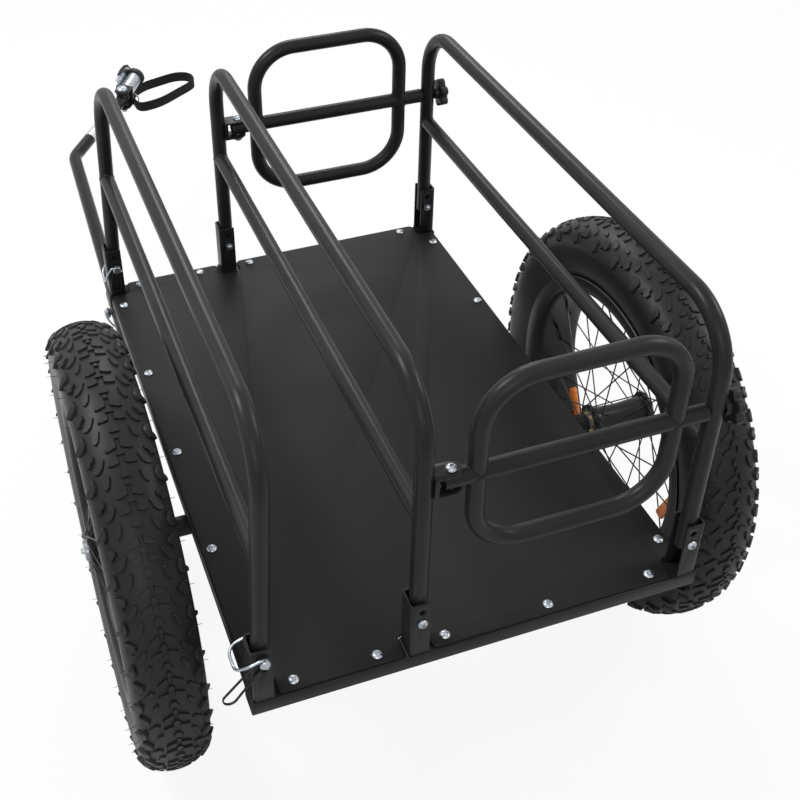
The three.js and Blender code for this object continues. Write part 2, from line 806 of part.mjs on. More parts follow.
function gateSolid() {
  const loop = (extra) => {
    const top = point(half(gateHoopLeft + gateHoopRight), 0, gateHoopTop);
    const bottom = point(top.x, 0, gateHoopBottom);
    const right = [top, point(gateHoopRight, 0, gateHoopTop), point(gateHoopRight, 0, gateHoopBottom), bottom];
    const left = [bottom, point(gateHoopLeft, 0, gateHoopBottom), point(gateHoopLeft, 0, gateHoopTop), top];
    return join(bar(right, gateRadius - extra, gateBend), bar(left, gateRadius - extra, gateBend));
  };
  const barStart = point(gatePivotPlace - gateTail, 0, gateHeight);
  const barEnd = point(rightRailPlace - railRadius - gatePlay, 0, gateHeight);
  const skin = join(loop(0), rod(barStart, barEnd, gateRadius, tubeSides));
  const hollowStart = offset(barStart, alongX, -overrun);
  const hollowEnd = offset(barEnd, alongX, -railWall * 2);
  const hollow = join(loop(gateWall), rod(hollowStart, hollowEnd, gateRadius - gateWall, tubeSides));
  const pivot = drill(
    point(gatePivotPlace, 0, gateHeight - gateTube),
    point(gatePivotPlace, 0, gateHeight + gateTube),
    half(gateBolt) + boltPlay
  );
  const thread = drill(offset(barEnd, alongX, -gateTube), offset(barEnd, alongX, overrun), half(knobBolt) + seatGap);
  return cut(skin, hollow, pivot, thread);
}

function gateBoltSolid() {
  const outer = gateRadius + clevisGap + clevisPlate + seatGap;
  const at = (z) => point(gatePivotPlace, 0, gateHeight + z);
  const head = rod(at(outer), at(outer + gateBoltHeadHeight), half(gateBoltHead));
  const nutEnd = -outer - gateBoltNutHeight;
  const shank = rod(at(outer + half(gateBoltHeadHeight)), at(nutEnd - gateBoltTail), half(gateBolt));
  return join(head, shank, nut(at(-outer), at(nutEnd), gateBoltNut));
}

function addGates(trailer) {
  for (const [end, side] of [['front', 1], ['rear', -1]]) {
    const gate = piece(`gate_${end}`, gateSolid(), 'powderCoat');
    const bolt = piece(`gate_bolt_${end}`, gateBoltSolid(), 'zinc');
    const knob = piece(`star_knob_${end}`, knobSolid(), 'plastic');
    gate.position.y = side * railEnd;
    bolt.position.y = side * railEnd;
    knob.position.set(rightRailPlace, side * railEnd, gateHeight);
    trailer.add(gate, bolt, knob);
  }
}

// The knob's outline: round lobes with hollows between them.
function knobOutline() {
  const points = [];
  const lobeSteps = 4;
  const ring = half(knobDiameter) - knobLobeRadius;
  for (let lobe = 0; lobe < knobLobes; lobe += 1) {
    const middle = 2 * Math.PI * lobe / knobLobes;
    for (let k = 0; k <= lobeSteps; k += 1) {
      const turn = middle + (k / lobeSteps - 1 / 2) * Math.PI;
      const x = ring * Math.cos(middle) + knobLobeRadius * Math.cos(turn);
      const y = ring * Math.sin(middle) + knobLobeRadius * Math.sin(turn);
      points.push(flat(x, y));
    }
  }
  return points;
}

function knobSolid() {
  const face = railRadius + knobStandOff;
  const back = face + knobHubLength;
  const star = plate(new THREE.Shape(knobOutline()), point(back, 0, 0), alongY, alongZ, knobThickness);
  const hub = rod(point(face, 0, 0), point(back + half(knobThickness), 0, 0), half(knobHub));
  const bolt = rod(point(-railRadius + seatGap, 0, 0), point(back, 0, 0), half(knobBolt));
  return join(star, hub, bolt);
}

// Wheels

// The tyre's section, from one bead to the other outside and back again inside.
function tyreSection() {
  const mirrored = (list) => [...list].reverse().map(([radius, place]) => [radius, -place]);
  const closed = [...mirrored(tyreSkin), ...tyreSkin, ...[...tyreLining].reverse(), ...mirrored(tyreLining).reverse()];
  return [...closed, closed[0]].map(([radius, place]) => flat(radius, place));
}

function rimSection() {
  const outer = [
    flat(rimFlangeRadius, rimHalfWidth),
    flat(rimWellRadius + rimBevel, rimHalfWidth),
    flat(rimWellRadius, rimHalfWidth - rimBevel)
  ];
  const inner = [
    flat(rimWellRadius + rimWall, rimHalfWidth - rimBevel - rimWall),
    flat(rimFlangeRadius, rimHalfWidth - rimWall)
  ];
  const mirrored = (list) => [...list].reverse().map((spot) => flat(spot.x, -spot.y));
  return [...outer, ...mirrored(outer), ...mirrored(inner), ...inner, outer[0].clone()];
}

// Half of the hub's outside, from the middle to the end face.
function hubSection() {
  const boreRadius = (half(bearingOuter) + seatGap) / roundness(hubSides);
  const seat = hubHalfLength - bearingRecess - bearingWidth - seatGap;
  const flangeIn = hubFlangePlace - half(hubFlangeThickness);
  const flangeOut = hubFlangePlace + half(hubFlangeThickness);
  const waistBore = (half(axle) + 2 * bearingRunGap) / roundness(hubSides);
  const side = [
    flat(half(hubWaist), hubWaistReach),
    flat(half(hubBarrel), flangeIn),
    flat(half(hubFlange), flangeIn),
    flat(half(hubFlange), flangeOut),
    flat(half(hubBarrel), flangeOut),
    flat(half(hubEnd), hubHalfLength),
    flat(boreRadius, hubHalfLength),
    flat(boreRadius, seat),
    flat(waistBore, seat)
  ];
  const other = [...side].reverse().map((spot) => flat(spot.x, -spot.y));
  return [...side, ...other];
}

// Every second spoke goes to the other flange, and their heads lie in and out by turns.
function spokeSolids() {
  const solids = [];
  const holeRadius = half(hubFlange) - spokeHoleInset;
  const rimRadius = rimWellRadius * roundness(wheelSides) - seatGap;
  for (let k = 0; k < spokeCount; k += 1) {
    const flange = k % 2 === 0 ? 1 : -1;
    const lace = Math.floor(k / 2) % 2 === 0 ? 1 : -1;
    const rimAngle = 2 * Math.PI * k / spokeCount;
    const hubAngle = rimAngle + lace * spokeCross * degree;
    const hubPlace = flange * hubFlangePlace + lace * spokeLaceOffset;
    const start = point(hubPlace, holeRadius * Math.cos(hubAngle), holeRadius * Math.sin(hubAngle));
    const rimPlace = flange * spokeRimSpread + lace * spokeLaceOffset;
    const end = point(rimPlace, rimRadius * Math.cos(rimAngle), rimRadius * Math.sin(rimAngle));
    solids.push(rod(start, end, half(spokeDiameter), spokeSides));
  }
  return solids;
}

function bearingSolid() {
  const inner = half(axle) + bearingRunGap;
  const outer = half(bearingOuter);
  return cut(
    rod(point(0, 0, 0), point(bearingWidth, 0, 0), outer, hubSides),
    drill(point(-overrun, 0, 0), point(bearingWidth + overrun, 0, 0), inner, hubSides)
  );
}

function axleSolid() {
  const headFace = hubHalfLength + bearingRunGap;
  const headEnd = headFace + axleHeadLength;
  const tubeEnd = axleTubeReach - wheelPlace;
  const shank = rod(point(tubeEnd - axleInsert, 0, 0), point(headFace + half(axleHeadLength), 0, 0), half(axle), hubSides);
  const head = rod(point(headFace, 0, 0), point(headEnd, 0, 0), half(axleHead), hubSides);
  const shoulderEnd = -hubHalfLength - bearingRunGap;
  const shoulder = rod(point(shoulderEnd - axleShoulderLength, 0, 0), point(shoulderEnd, 0, 0), half(axleShoulder), hubSides);
  const pocket = drill(
    point(headEnd - axleButtonLength, 0, 0),
    point(headEnd + overrun, 0, 0),
    half(axleButton) + buttonGap
  );
  return cut(join(shank, head, shoulder), pocket);
}

function buttonSolid() {
  const mouth = hubHalfLength + bearingRunGap + axleHeadLength;
  const end = mouth + axleButtonProud;
  return rod(point(end - axleButtonLength + buttonGap, 0, 0), point(end, 0, 0), half(axleButton));
}

function addWheels(trailer) {
  const hubBody = join(turned([...hubSection(), hubSection()[0]], hubSides), ...spokeSolids());
  for (const [hand, side] of [['left', -1], ['right', 1]]) {
    const wheel = new THREE.Group();
    wheel.position.set(side * wheelPlace, axlePlace, axleHeight);
    wheel.rotation.z = side > 0 ? 0 : Math.PI;
    wheel.add(piece(`tyre_${hand}`, turned(tyreSection(), wheelSides), 'rubber'));
    wheel.add(piece(`rim_${hand}`, turned(rimSection(), wheelSides), 'alloy'));
    wheel.add(piece(`hub_${hand}`, hubBody, 'alloy'));
    wheel.add(piece(`axle_${hand}`, axleSolid(), 'zinc'));
    wheel.add(piece(`axle_button_${hand}`, buttonSolid(), 'zinc'));
    const inner = piece(`bearing_inner_${hand}`, bearingSolid(), 'bearing');
    const outer = piece(`bearing_outer_${hand}`, bearingSolid(), 'bearing');
    inner.position.x = -hubHalfLength + bearingRecess;
    outer.position.x = hubHalfLength - bearingRecess - bearingWidth;
    wheel.add(inner, outer);
    trailer.add(wheel);
  }
}

// Tow bar, drawn along Y from where the tow line passes the frame

function towBarSolid() {
  const corner = point(0, towCorner, 0);
  const turn = towBendAngle * degree;
  const heading = point(Math.sin(turn), Math.cos(turn), 0);
  const eye = offset(corner, heading, towReach);
  const route = [point(0, -towInsert, 0), corner, eye];
  const barrel = rod(
    point(eye.x, eye.y, -half(towEyeHeight)),
    point(eye.x, eye.y, half(towEyeHeight)),
    half(towEye),
    hubSides
  );
  const skin = join(bar(route, half(towTube), towBendRadius), barrel);
  const eyeHole = drill(
    point(eye.x, eye.y, -towEyeHeight),
    point(eye.x, eye.y, towEyeHeight),
    half(hitchPin) + boltPlay
  );
  const hollowEnd = offset(eye, heading, -half(towEye) - overrun);
  const inside = [point(0, -towInsert - overrun, 0), corner, hollowEnd];
  const hollow = sweep(circlePoints(half(towTube) - towWall, boreSides), bentRoute(inside, towBendRadius));
  const pinHole = drill(
    point(-towTube, -towPinPlace, 0),
    point(towTube, -towPinPlace, 0),
    half(lockPin) + boltPlay
  );
  return { solid: cut(skin, hollow, eyeHole, pinHole), eye, heading };
}

function addTow(trailer) {
  const tow = new THREE.Group();
  tow.position.set(towLinePlace, towLineFront, towHeight);
  tow.rotation.z = -towSlant * degree;
  const sleeveEnds = [point(0, towSleeveNose - towSleeveLength, 0), point(0, towSleeveNose, 0)];
  const sleeve = cut(
    rod(...sleeveEnds, towSleeveRadius, hubSides),
    drill(...lengthened(sleeveEnds, overrun), half(towTube) + towSleeveGap, hubSides),
    drill(point(-2 * towTube, -towPinPlace, 0), point(2 * towTube, -towPinPlace, 0), half(lockPin) + boltPlay)
  );
  tow.add(piece('tow_sleeve', sleeve, 'powderCoat'));
  const { solid, eye, heading } = towBarSolid();
  tow.add(piece('tow_bar', solid, 'powderCoat'));

  const carrier = new THREE.Group();
  carrier.position.set(0, -towPinPlace, 0);
  carrier.rotation.z = -Math.PI / 2;
  addTowPin(carrier);
  tow.add(carrier);

  const hitch = new THREE.Group();
  hitch.position.copy(eye);
  hitch.rotation.z = -Math.atan2(heading.x, heading.y);
  addHitch(hitch);
  tow.add(hitch);
  trailer.add(tow);
}

function addTowPin(carrier) {
  addLockPin(carrier, 'tow', towSleeveRadius, towBailTilt, ...towTether);
}

// Hitch, drawn along Y from the eye's axis

// Two ears on a back plate, with a tab under them that carries the strap's ring.
function hitchForkSolid() {
  const inner = half(towEyeHeight) + hitchEarGap;
  const outer = inner + hitchEarThickness;
  const ear = new THREE.Shape();
  const width = hitchEarHalfWidth;
  const face = hitchFaceReach + hitchPlateThickness;
  ear.moveTo(width, face);
  ear.lineTo(-width, face);
  ear.absarc(0, 0, width, Math.PI, 2 * Math.PI, false);
  const ears = plate(ear, point(0, 0, -outer), alongX, alongY, 2 * outer);
  const slot = block(point(-2 * width, -2 * width, -inner), point(2 * width, hitchFaceReach, inner));
  const tab = block(point(ringTabStart, hitchFaceReach, -outer), point(ringTabEnd, ringTabReach, -inner));
  const ringSpot = point(ringHolePlace, strapLine[0][1], 0);
  const ringPass = drill(offset(ringSpot, alongZ, -2 * outer), offset(ringSpot, alongZ, -half(inner)), half(ringHole));
  const hole = drill(point(0, 0, -2 * outer), point(0, 0, 2 * outer), half(hitchPin) + boltPlay);
  return cut(join(cut(ears, slot), tab), hole, ringPass);
}

// The cup: an open tube with a rolled rim, on the back plate, and a cheek plate along its left side.
function hitchCupSolid() {
  const rise = cupRise * degree;
  const heading = point(0, Math.cos(rise), Math.sin(rise));
  const root = point(0, hitchFaceReach + hitchPlateThickness, cupHeight);
  const at = (length) => offset(root, heading, length);
  const tube = rod(at(-half(hitchPlateThickness)), at(cupLength), cupRadius, hubSides);
  const rim = rod(at(cupLength - cupRimLength), at(cupLength), cupRimRadius, hubSides);
  const inside = drill(at(cupWall), at(cupLength + overrun), cupRadius - cupWall, hubSides);
  const outline = new THREE.Shape(cheekCorners.map(([along, height]) => flat(along, height)));
  const cheek = plate(outline, point(cheekPlace, 0, 0), alongY, alongZ, cheekThickness);
  return cut(join(tube, rim, cheek), inside);
}

function hitchPinSolid() {
  const outer = half(towEyeHeight) + hitchEarGap + hitchEarThickness + seatGap;
  const at = (z) => point(0, 0, z);
  const head = rod(at(outer), at(outer + hitchPinHeadHeight), half(hitchPinHead));
  const shank = rod(at(outer + half(hitchPinHeadHeight)), at(-outer - hitchPinTail), half(hitchPin));
  const knob = rod(at(-outer - hitchPinTail), at(-outer - half(hitchPinTail)), half(hitchPinKnob));
  return join(head, shank, knob);
}

// The strap is a closed loop of flat band on edge.
function strapSolid() {
  const spots = strapLine.map(([x, y]) => point(x, y, 0));
  const curve = new THREE.CatmullRomCurve3(spots, true);
  const edge = (side) => {
    const points = [];
    for (let k = 0; k < strapSteps; k += 1) {
      const heading = curve.getTangentAt(k / strapSteps);
      const spot = curve.getPointAt(k / strapSteps);
      points.push(flat(spot.x, spot.y).addScaledVector(flat(heading.y, -heading.x), side));
    }
    return points;
  };
  const outline = (side) => edge(side * half(strapThickness));
  const loop = new THREE.Shape(outline(1));
  loop.holes.push(new THREE.Path(outline(-1)));
  return plate(loop, point(0, 0, strapHeight - half(strapWidth)), alongX, alongY, strapWidth);
}

function ringSolid() {
  const geometry = new THREE.TorusGeometry(strapRingRadius, half(strapRingWire), wireSides, hubSides);
  geometry.rotateX(Math.PI / 2);
  const [strapPlace, along] = strapLine[0];
  geometry.translate(strapPlace, along, strapHeight);
  return toSolid(geometry);
}

function addHitch(hitch) {
  hitch.add(piece('hitch_coupler', join(hitchForkSolid(), hitchCupSolid()), 'powderCoat'));
  hitch.add(piece('hitch_pin', hitchPinSolid(), 'zinc'));
  const strap = piece('safety_strap', strapSolid(), 'webbing');
  const ring = piece('strap_ring', ringSolid(), 'zinc');
  hitch.add(strap, ring);
}

const trailer = new THREE.Group();
addFrame(trailer);
addDeck(trailer);
addFeet(trailer);
addRails(trailer);
addFootPins(trailer);
addGates(trailer);
addWheels(trailer);
addTow(trailer);

export default trailer;
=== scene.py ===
"""Cargo bike trailer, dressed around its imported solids. Run as a script in Blender."""

import math
import random

import bpy
from mathutils import Matrix, Vector


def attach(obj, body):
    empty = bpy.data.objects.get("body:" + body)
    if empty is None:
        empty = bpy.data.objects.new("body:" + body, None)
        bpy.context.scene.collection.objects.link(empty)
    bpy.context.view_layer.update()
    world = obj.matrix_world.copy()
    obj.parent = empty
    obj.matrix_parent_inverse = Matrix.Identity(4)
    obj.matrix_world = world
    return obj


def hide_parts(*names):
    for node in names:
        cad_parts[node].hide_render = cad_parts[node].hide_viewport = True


bl_info = {
    "name": "Cargo bike trailer",
    "version": (1, 0, 0),
    "blender": (4, 5, 0),
    "location": "View3D > Sidebar > Trailer",
    "description": "Builds a flat-deck bike trailer with hoop rails, gates, wheels and tow bar",
    "category": "Add Mesh",
}

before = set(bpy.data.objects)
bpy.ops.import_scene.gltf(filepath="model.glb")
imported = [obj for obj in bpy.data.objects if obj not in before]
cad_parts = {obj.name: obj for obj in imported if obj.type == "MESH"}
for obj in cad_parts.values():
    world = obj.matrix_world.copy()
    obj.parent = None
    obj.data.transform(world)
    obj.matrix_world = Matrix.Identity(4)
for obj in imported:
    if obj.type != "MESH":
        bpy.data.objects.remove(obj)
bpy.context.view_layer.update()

MM = 0.001
FULL_TURN = 2 * math.pi
X = Vector((1, 0, 0))
Y = Vector((0, 1, 0))
Z = Vector((0, 0, 1))

# Places of the frame, in millimetres, origin at the centre of the deck's top face
FRAME_HALF_WIDTH = 279
FRAME_HALF_LENGTH = 421.5
FRAME_TUBE_WIDTH = 30
FRAME_TUBE_HEIGHT = 20
FRAME_TOP = -4
CROSS_SIDES = (-165, -135, 135, 165)
POST_Y = 406.5
RAIL_RADIUS = 10.7
RAIL_WALL = 1.5
RAIL_TOP = 368.4
RAIL_MIDDLE = 204.9
RAIL_BEND = 75
RAIL_FOOT = 39
RAIL_X = {"left": -264.7, "middle": -80.3, "right": 264.7}
LEAN = math.radians(2.7)
LEAN_PIVOT = 60
LOWER_HOLE = 51
UPPER_HOLE = 69
BRACKET_TOP = 82
BRACKET_DEPTH = 14.5
BRACKET_WEB = 14.5
BRACKET_OPEN = 10
BRACKET_WALL = 2.5
BOLT_HOLE = 4.4
GATE_HEIGHT = 252
GATE_PIVOT = -50
GATE_SIDES = (-20, 215)
GATE_ENDS = (138, 369.5)
GATE_BEND = 62
AXLE_Y = -100
AXLE_Z = -37.5
AXLE_TUBE_REACH = 309
WHEEL_X = 361
TYRE_RADIUS = 290.5
FLOOR = AXLE_Z - TYRE_RADIUS
TOW_ORIGIN = Vector((-267.2, 430, -38))
TOW_SLANT = math.radians(1.85)
TOW_CORNER = Vector((0, 500, 0))
TOW_TURN = math.radians(31)
TOW_HEADING = Vector((math.sin(TOW_TURN), math.cos(TOW_TURN), 0))
TOW_EYE = TOW_CORNER + TOW_HEADING * 258
TOW_BEND = 60
TOW_RADIUS = 11.9
TOW_EYE_RADIUS = 13


# Modelling by hand, in code


def deselect():
    if bpy.context.mode != "OBJECT":
        bpy.ops.object.mode_set(mode="OBJECT")
    bpy.ops.object.select_all(action="DESELECT")


def pick(*objects):
    deselect()
    for obj in objects:
        obj.select_set(True)
    bpy.context.view_layer.objects.active = objects[0]
    return objects[0]


def edit(obj):
    pick(obj)
    bpy.ops.object.mode_set(mode="EDIT")
    bpy.ops.mesh.select_all(action="SELECT")


def close_up(merge=1e-6):
    """Merge doubles, point the faces outwards and leave edit mode."""
    bpy.ops.mesh.select_all(action="SELECT")
    bpy.ops.mesh.remove_doubles(threshold=merge)
    bpy.ops.mesh.dissolve_degenerate(threshold=merge)
    bpy.ops.mesh.select_all(action="SELECT")
    bpy.ops.mesh.normals_make_consistent(inside=False)
    bpy.ops.object.mode_set(mode="OBJECT")
    return bpy.context.object


def ring_of(points):
    """A closed chain of edges through the given points, in millimetres."""
    deselect()
    bpy.ops.mesh.primitive_circle_add(vertices=len(points), fill_type="NOTHING")
    obj = bpy.context.object
    for vertex, spot in zip(obj.data.vertices, points):
        vertex.co = Vector(spot) * MM
    return obj


def spun(profile, steps=48, axis=X):
    """A closed profile of (distance along the axis, radius) turned about the axis."""
    side = Y if axis == X else X
    obj = ring_of([axis * along + side * radius for along, radius in profile])
    edit(obj)
    bpy.ops.mesh.spin(
        steps=steps, angle=FULL_TURN, use_auto_merge=True, center=(0, 0, 0), axis=axis
    )
    return close_up()


def plate(outline, thickness):
    """A flat outline in X and Y, raised along Z."""
    obj = ring_of([(x, y, 0) for x, y in outline])
    edit(obj)
    bpy.ops.mesh.edge_face_add()
    bpy.ops.mesh.extrude_region_move(TRANSFORM_OT_translate={"value": (0, 0, thickness * MM)})
    return close_up()


def modified(obj, kind, **settings):
    pick(obj)
    modifier = obj.modifiers.new(kind.title(), kind)
    for key, value in settings.items():
        setattr(modifier, key, value)
    bpy.ops.object.modifier_apply(modifier=modifier.name)
    return obj


def bevelled(obj, width, segments=2, angle=30):
    return modified(
        obj,
        "BEVEL",
        width=width * MM,
        segments=segments,
        limit_method="ANGLE",
        angle_limit=math.radians(angle),
        harden_normals=False,
    )


def drilled(obj, *tools):
    for tool in tools:
        modified(obj, "BOOLEAN", object=tool, operation="DIFFERENCE", solver="EXACT")
        bpy.data.objects.remove(tool)
    return obj


def rod(start, end, radius, sides=24, taper=1.0):
    """A round bar between two points, as a cone primitive set on its axis."""
    start, end = Vector(start), Vector(end)
    run = end - start
    deselect()
    bpy.ops.mesh.primitive_cone_add(
        vertices=sides, radius1=radius * MM, radius2=radius * taper * MM, depth=run.length * MM
    )
    obj = bpy.context.object
    obj.data.transform((X.rotation_difference(run) @ Z.rotation_difference(X)).to_matrix().to_4x4())
    obj.data.transform(Matrix.Translation((start + end) / 2 * MM))
    return obj


def moved(obj, matrix):
    obj.data.transform(matrix)
    if matrix.determinant() < 0:
        obj.data.flip_normals()
    return obj


def shift(x=0, y=0, z=0):
    return Matrix.Translation(Vector((x, y, z)) * MM)


def turn(angle, axis):
    return Matrix.Rotation(angle, 4, axis)


def copied(obj, matrix):
    twin = obj.copy()
    twin.data = obj.data.copy()
    bpy.context.collection.objects.link(twin)
    return moved(twin, matrix)


def discard(*objects):
    for obj in objects:
        bpy.data.objects.remove(obj)


def box(x, y, z, place=Matrix.Identity(4)):
    """A box, as a tool for cuts."""
    deselect()
    bpy.ops.mesh.primitive_cube_add(size=1)
    return moved(bpy.context.object, place @ Matrix.Diagonal((x * MM, y * MM, z * MM, 1)))

def joined(*objects):
    pick(*objects)
    if len(objects) > 1:
        bpy.ops.object.join()
    return bpy.context.object


def smooth(obj, angle=35):
    pick(obj)
    bpy.ops.object.shade_smooth_by_angle(angle=math.radians(angle))
    return obj


def rounded(corners, radius, steps=8):
    """Stations along a chain of corners, inner ones turned on an arc, by one radius or one each."""
    corners = [Vector(c) for c in corners]
    radii = radius if isinstance(radius, list) else [radius] * (len(corners) - 2)
    stations = [corners[0]]
    for before, corner, after, radius in zip(corners, corners[1:], corners[2:], radii):
        into = (corner - before).normalized()
        away = (after - corner).normalized()
        angle = into.angle(away)
        start = corner - into * radius * math.tan(angle / 2)
        axis = into.cross(away).normalized()
        centre = start + axis.cross(into) * radius
        for k in range(steps + 1):
            spin = Matrix.Rotation(angle * k / steps, 3, axis)
            stations.append(centre + spin @ (start - centre))
    return stations + [corners[-1]]


def tube(stations, radius, cyclic=False, wall=0, sides=5):
    """Round tube along stations. With a wall it is open at both ends."""
    deselect()
    bpy.ops.curve.primitive_nurbs_path_add()
    obj = bpy.context.object
    curve = obj.data
    curve.splines.clear()
    spline = curve.splines.new("POLY")
    spline.points.add(len(stations) - 1)
    for point, spot in zip(spline.points, stations):
        point.co = (*(Vector(spot) * MM), 1)
    spline.use_cyclic_u = cyclic
    curve.dimensions = "3D"
    curve.bevel_depth = radius * MM
    curve.bevel_resolution = sides
    curve.use_fill_caps = wall == 0 and not cyclic
    bpy.ops.object.convert(target="MESH")
    obj = bpy.context.object
    if wall:
        modified(obj, "SOLIDIFY", thickness=wall * MM, offset=-1)
    edit(obj)
    return close_up()


def arc(radius, start, sweep, steps):
    """Flat points on an arc, both ends included."""
    angles = [start + sweep * k / steps for k in range(steps + 1)]
    return [(radius * math.cos(a), radius * math.sin(a)) for a in angles]


def saddle(at, way, side, bar_radius, post_radius, lift, steps):
    """The closed line where a bar meets a post that stands along Z, both with the same centre."""
    spots = []
    for across, up in arc(bar_radius, 0, FULL_TURN, steps)[:-1]:
        reach = math.sqrt(max(0.0, post_radius**2 - across**2)) + lift
        spots.append(at + way * reach + side * across + Z * up)
    return spots


def weld_bead(way, at, width=1.0):
    """A bead where a bar of the rails or gates meets a post."""
    side = Z.cross(way).normalized()
    spots = saddle(Vector(at), way, side, RAIL_RADIUS, RAIL_RADIUS, width * 0.3, 32)
    return tube(spots, width, cyclic=True, sides=2)


def stepped(face, *profile, way=1):
    """A profile of (distance, radius) counted from a face, along the axis or against it."""
    return [(face + way * along, radius) for along, radius in profile]


def fillet(outline, radius, steps=5):
    """Corners of a flat closed outline rounded by one radius, or by one each."""
    radii = radius if isinstance(radius, (list, tuple)) else [radius] * len(outline)
    spots = []
    for i, corner in enumerate(outline):
        corner = Vector((*corner, 0))
        before = (Vector((*outline[i - 1], 0)) - corner).normalized()
        after = (Vector((*outline[(i + 1) % len(outline)], 0)) - corner).normalized()
        if radii[i] == 0:
            spots.append(corner.to_2d())
            continue
        opening = before.angle(after)
        centre = corner + (before + after).normalized() * radii[i] / math.sin(opening / 2)
        start = corner + before * radii[i] / math.tan(opening / 2) - centre
        end = corner + after * radii[i] / math.tan(opening / 2) - centre
        sweep = start.to_2d().angle_signed(end.to_2d())
        for k in range(steps + 1):
            arm = Matrix.Rotation(-sweep * k / steps, 3, "Z") @ start
            spots.append((centre + arm).to_2d())
    return spots


def refined(node, bevel=0.5, segments=2):
    """A merged copy of a CAD node with its edges broken."""
    obj = bpy.data.objects.new("copy_of_" + node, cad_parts[node].data.copy())
    bpy.context.collection.objects.link(obj)
    obj.data.materials.clear()
    edit(obj)
    bpy.ops.mesh.remove_doubles(threshold=1e-6)
    bpy.ops.mesh.dissolve_limited(angle_limit=math.radians(0.5))
    bpy.ops.object.mode_set(mode="OBJECT")
    return bevelled(obj, bevel, segments)


def finished(obj, name, body, finish, replaces=None):
    obj.name = name
    obj.data.name = name
    obj.data.materials.clear()
    obj.data.materials.append(finish_named(finish))
    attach(obj, body)
    if replaces:
        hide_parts(replaces)
    return obj


def dressed(obj, *labels):
    return finished(smooth(obj), *labels)


# Shader maths


def add_node(tree, kind, inputs=(), **settings):
    """A node with its settings; each input takes another node's socket or a value."""
    node = tree.nodes.new(kind)
    for key, value in settings.items():
        setattr(node, key, value)
    for key, value in dict(inputs).items():
        if isinstance(value, bpy.types.NodeSocket):
            tree.links.new(value, node.inputs[key])
        else:
            node.inputs[key].default_value = value
    return node


class Signal:
    """A socket of a material's node tree that takes part in Python expressions."""

    def __init__(self, finish, socket):
        self.finish = finish
        self.socket = socket

    def maths(self, operation, *values):
        return self.finish.node("ShaderNodeMath", {"operation": operation}, *values)

    def __add__(self, other):
        return self.maths("ADD", self, other)

    __radd__ = __add__

    def __mul__(self, other):
        return self.maths("MULTIPLY", self, other)

    __rmul__ = __mul__

    def __sub__(self, other):
        return self.maths("SUBTRACT", self, other)

    def __rsub__(self, other):
        return self.maths("SUBTRACT", other, self)

    def __truediv__(self, other):
        return self.maths("DIVIDE", self, other)

    def __rtruediv__(self, other):
        return self.maths("DIVIDE", other, self)

    def __pow__(self, other):
        return self.maths("POWER", self, other)

    def __abs__(self):
        return self.maths("ABSOLUTE", self)

    def sine(self):
        return self.maths("SINE", self)

    def ramp(self, low, high):
        settings = {"interpolation_type": "SMOOTHSTEP"}
        return self.finish.node("ShaderNodeMapRange", settings, self, low, high)


class Finish:
    """One procedural material round a Principled shader."""

    def __init__(self, name, color, roughness, sockets=None):
        self.material = bpy.data.materials.new(name)
        self.material.use_nodes = True
        self.tree = self.material.node_tree
        self.shader = self.tree.nodes["Principled BSDF"]
        self.shader.inputs["Base Color"].default_value = (*color, 1)
        self.shader.inputs["Roughness"].default_value = roughness
        for key, value in (sockets or {}).items():
            self.shader.inputs[key].default_value = value

    def wire(self, socket, value):
        if isinstance(value, Signal):
            self.tree.links.new(value.socket, socket)
        elif value is not None:
            socket.default_value = value

    def node(self, kind, settings=None, *values, output=0, **named):
        node = add_node(self.tree, kind, **(settings or {}))
        sockets = [s for s in node.inputs if s.enabled]
        for socket, value in zip(sockets, values):
            self.wire(socket, value)
        for key, value in named.items():
            self.wire(node.inputs[key], value)
        return Signal(self, node.outputs[output])

    def place(self):
        return self.node("ShaderNodeTexCoord", output=3)

    def noise(self, scale, detail=3.0, roughness=0.5, stretch=None):
        at = self.place()
        if stretch:
            at = self.node("ShaderNodeMapping", None, Vector=at, Scale=stretch)
        return self.node(
            "ShaderNodeTexNoise", None, Vector=at, Scale=scale, Detail=detail, Roughness=roughness
        )

    def parts(self, vector=None):
        node = add_node(self.tree, "ShaderNodeSeparateXYZ")
        self.wire(node.inputs[0], vector or self.place())
        return [Signal(self, out) for out in node.outputs]

    def wheel_radius(self):
        """Distance from the wheels' axis."""
        _, y, z = self.parts()
        return ((y - AXLE_Y * MM) ** 2.0 + (z - AXLE_Z * MM) ** 2.0) ** 0.5

    def blend(self, factor, first, second):
        node = add_node(self.tree, "ShaderNodeMix", data_type="RGBA")
        inputs = {socket.identifier: socket for socket in node.inputs}
        self.wire(inputs["Factor_Float"], factor)
        self.wire(inputs["A_Color"], (*first, 1))
        self.wire(inputs["B_Color"], (*second, 1))
        return Signal(self, next(s for s in node.outputs if s.identifier == "Result_Color"))

    def feed(self, socket, signal):
        self.tree.links.new(signal.socket, self.shader.inputs[socket])

    def tint(self, factor, first, second):
        self.feed("Base Color", self.blend(factor, first, second))

    def bump(self, height, distance, strength=1.0):
        self.feed(
            "Normal",
            self.node("ShaderNodeBump", None, Height=height, Distance=distance, Strength=strength),
        )


def shade(value):
    return (value, value, value * 1.02)


def brighter(color, gain):
    return tuple(c * gain for c in color)


def cloudy_finish(name, start, sockets, cloud, edges, tints, roughness, grain, bump):
    """A plain finish that varies in soft clouds, over a fine grain."""
    made = Finish(name, *start, sockets)
    haze = made.noise(*cloud)
    made.tint(haze.ramp(*edges), *tints)
    made.feed("Roughness", roughness[0] + haze * roughness[1])
    made.bump(made.noise(*grain), *bump)
    return made.material


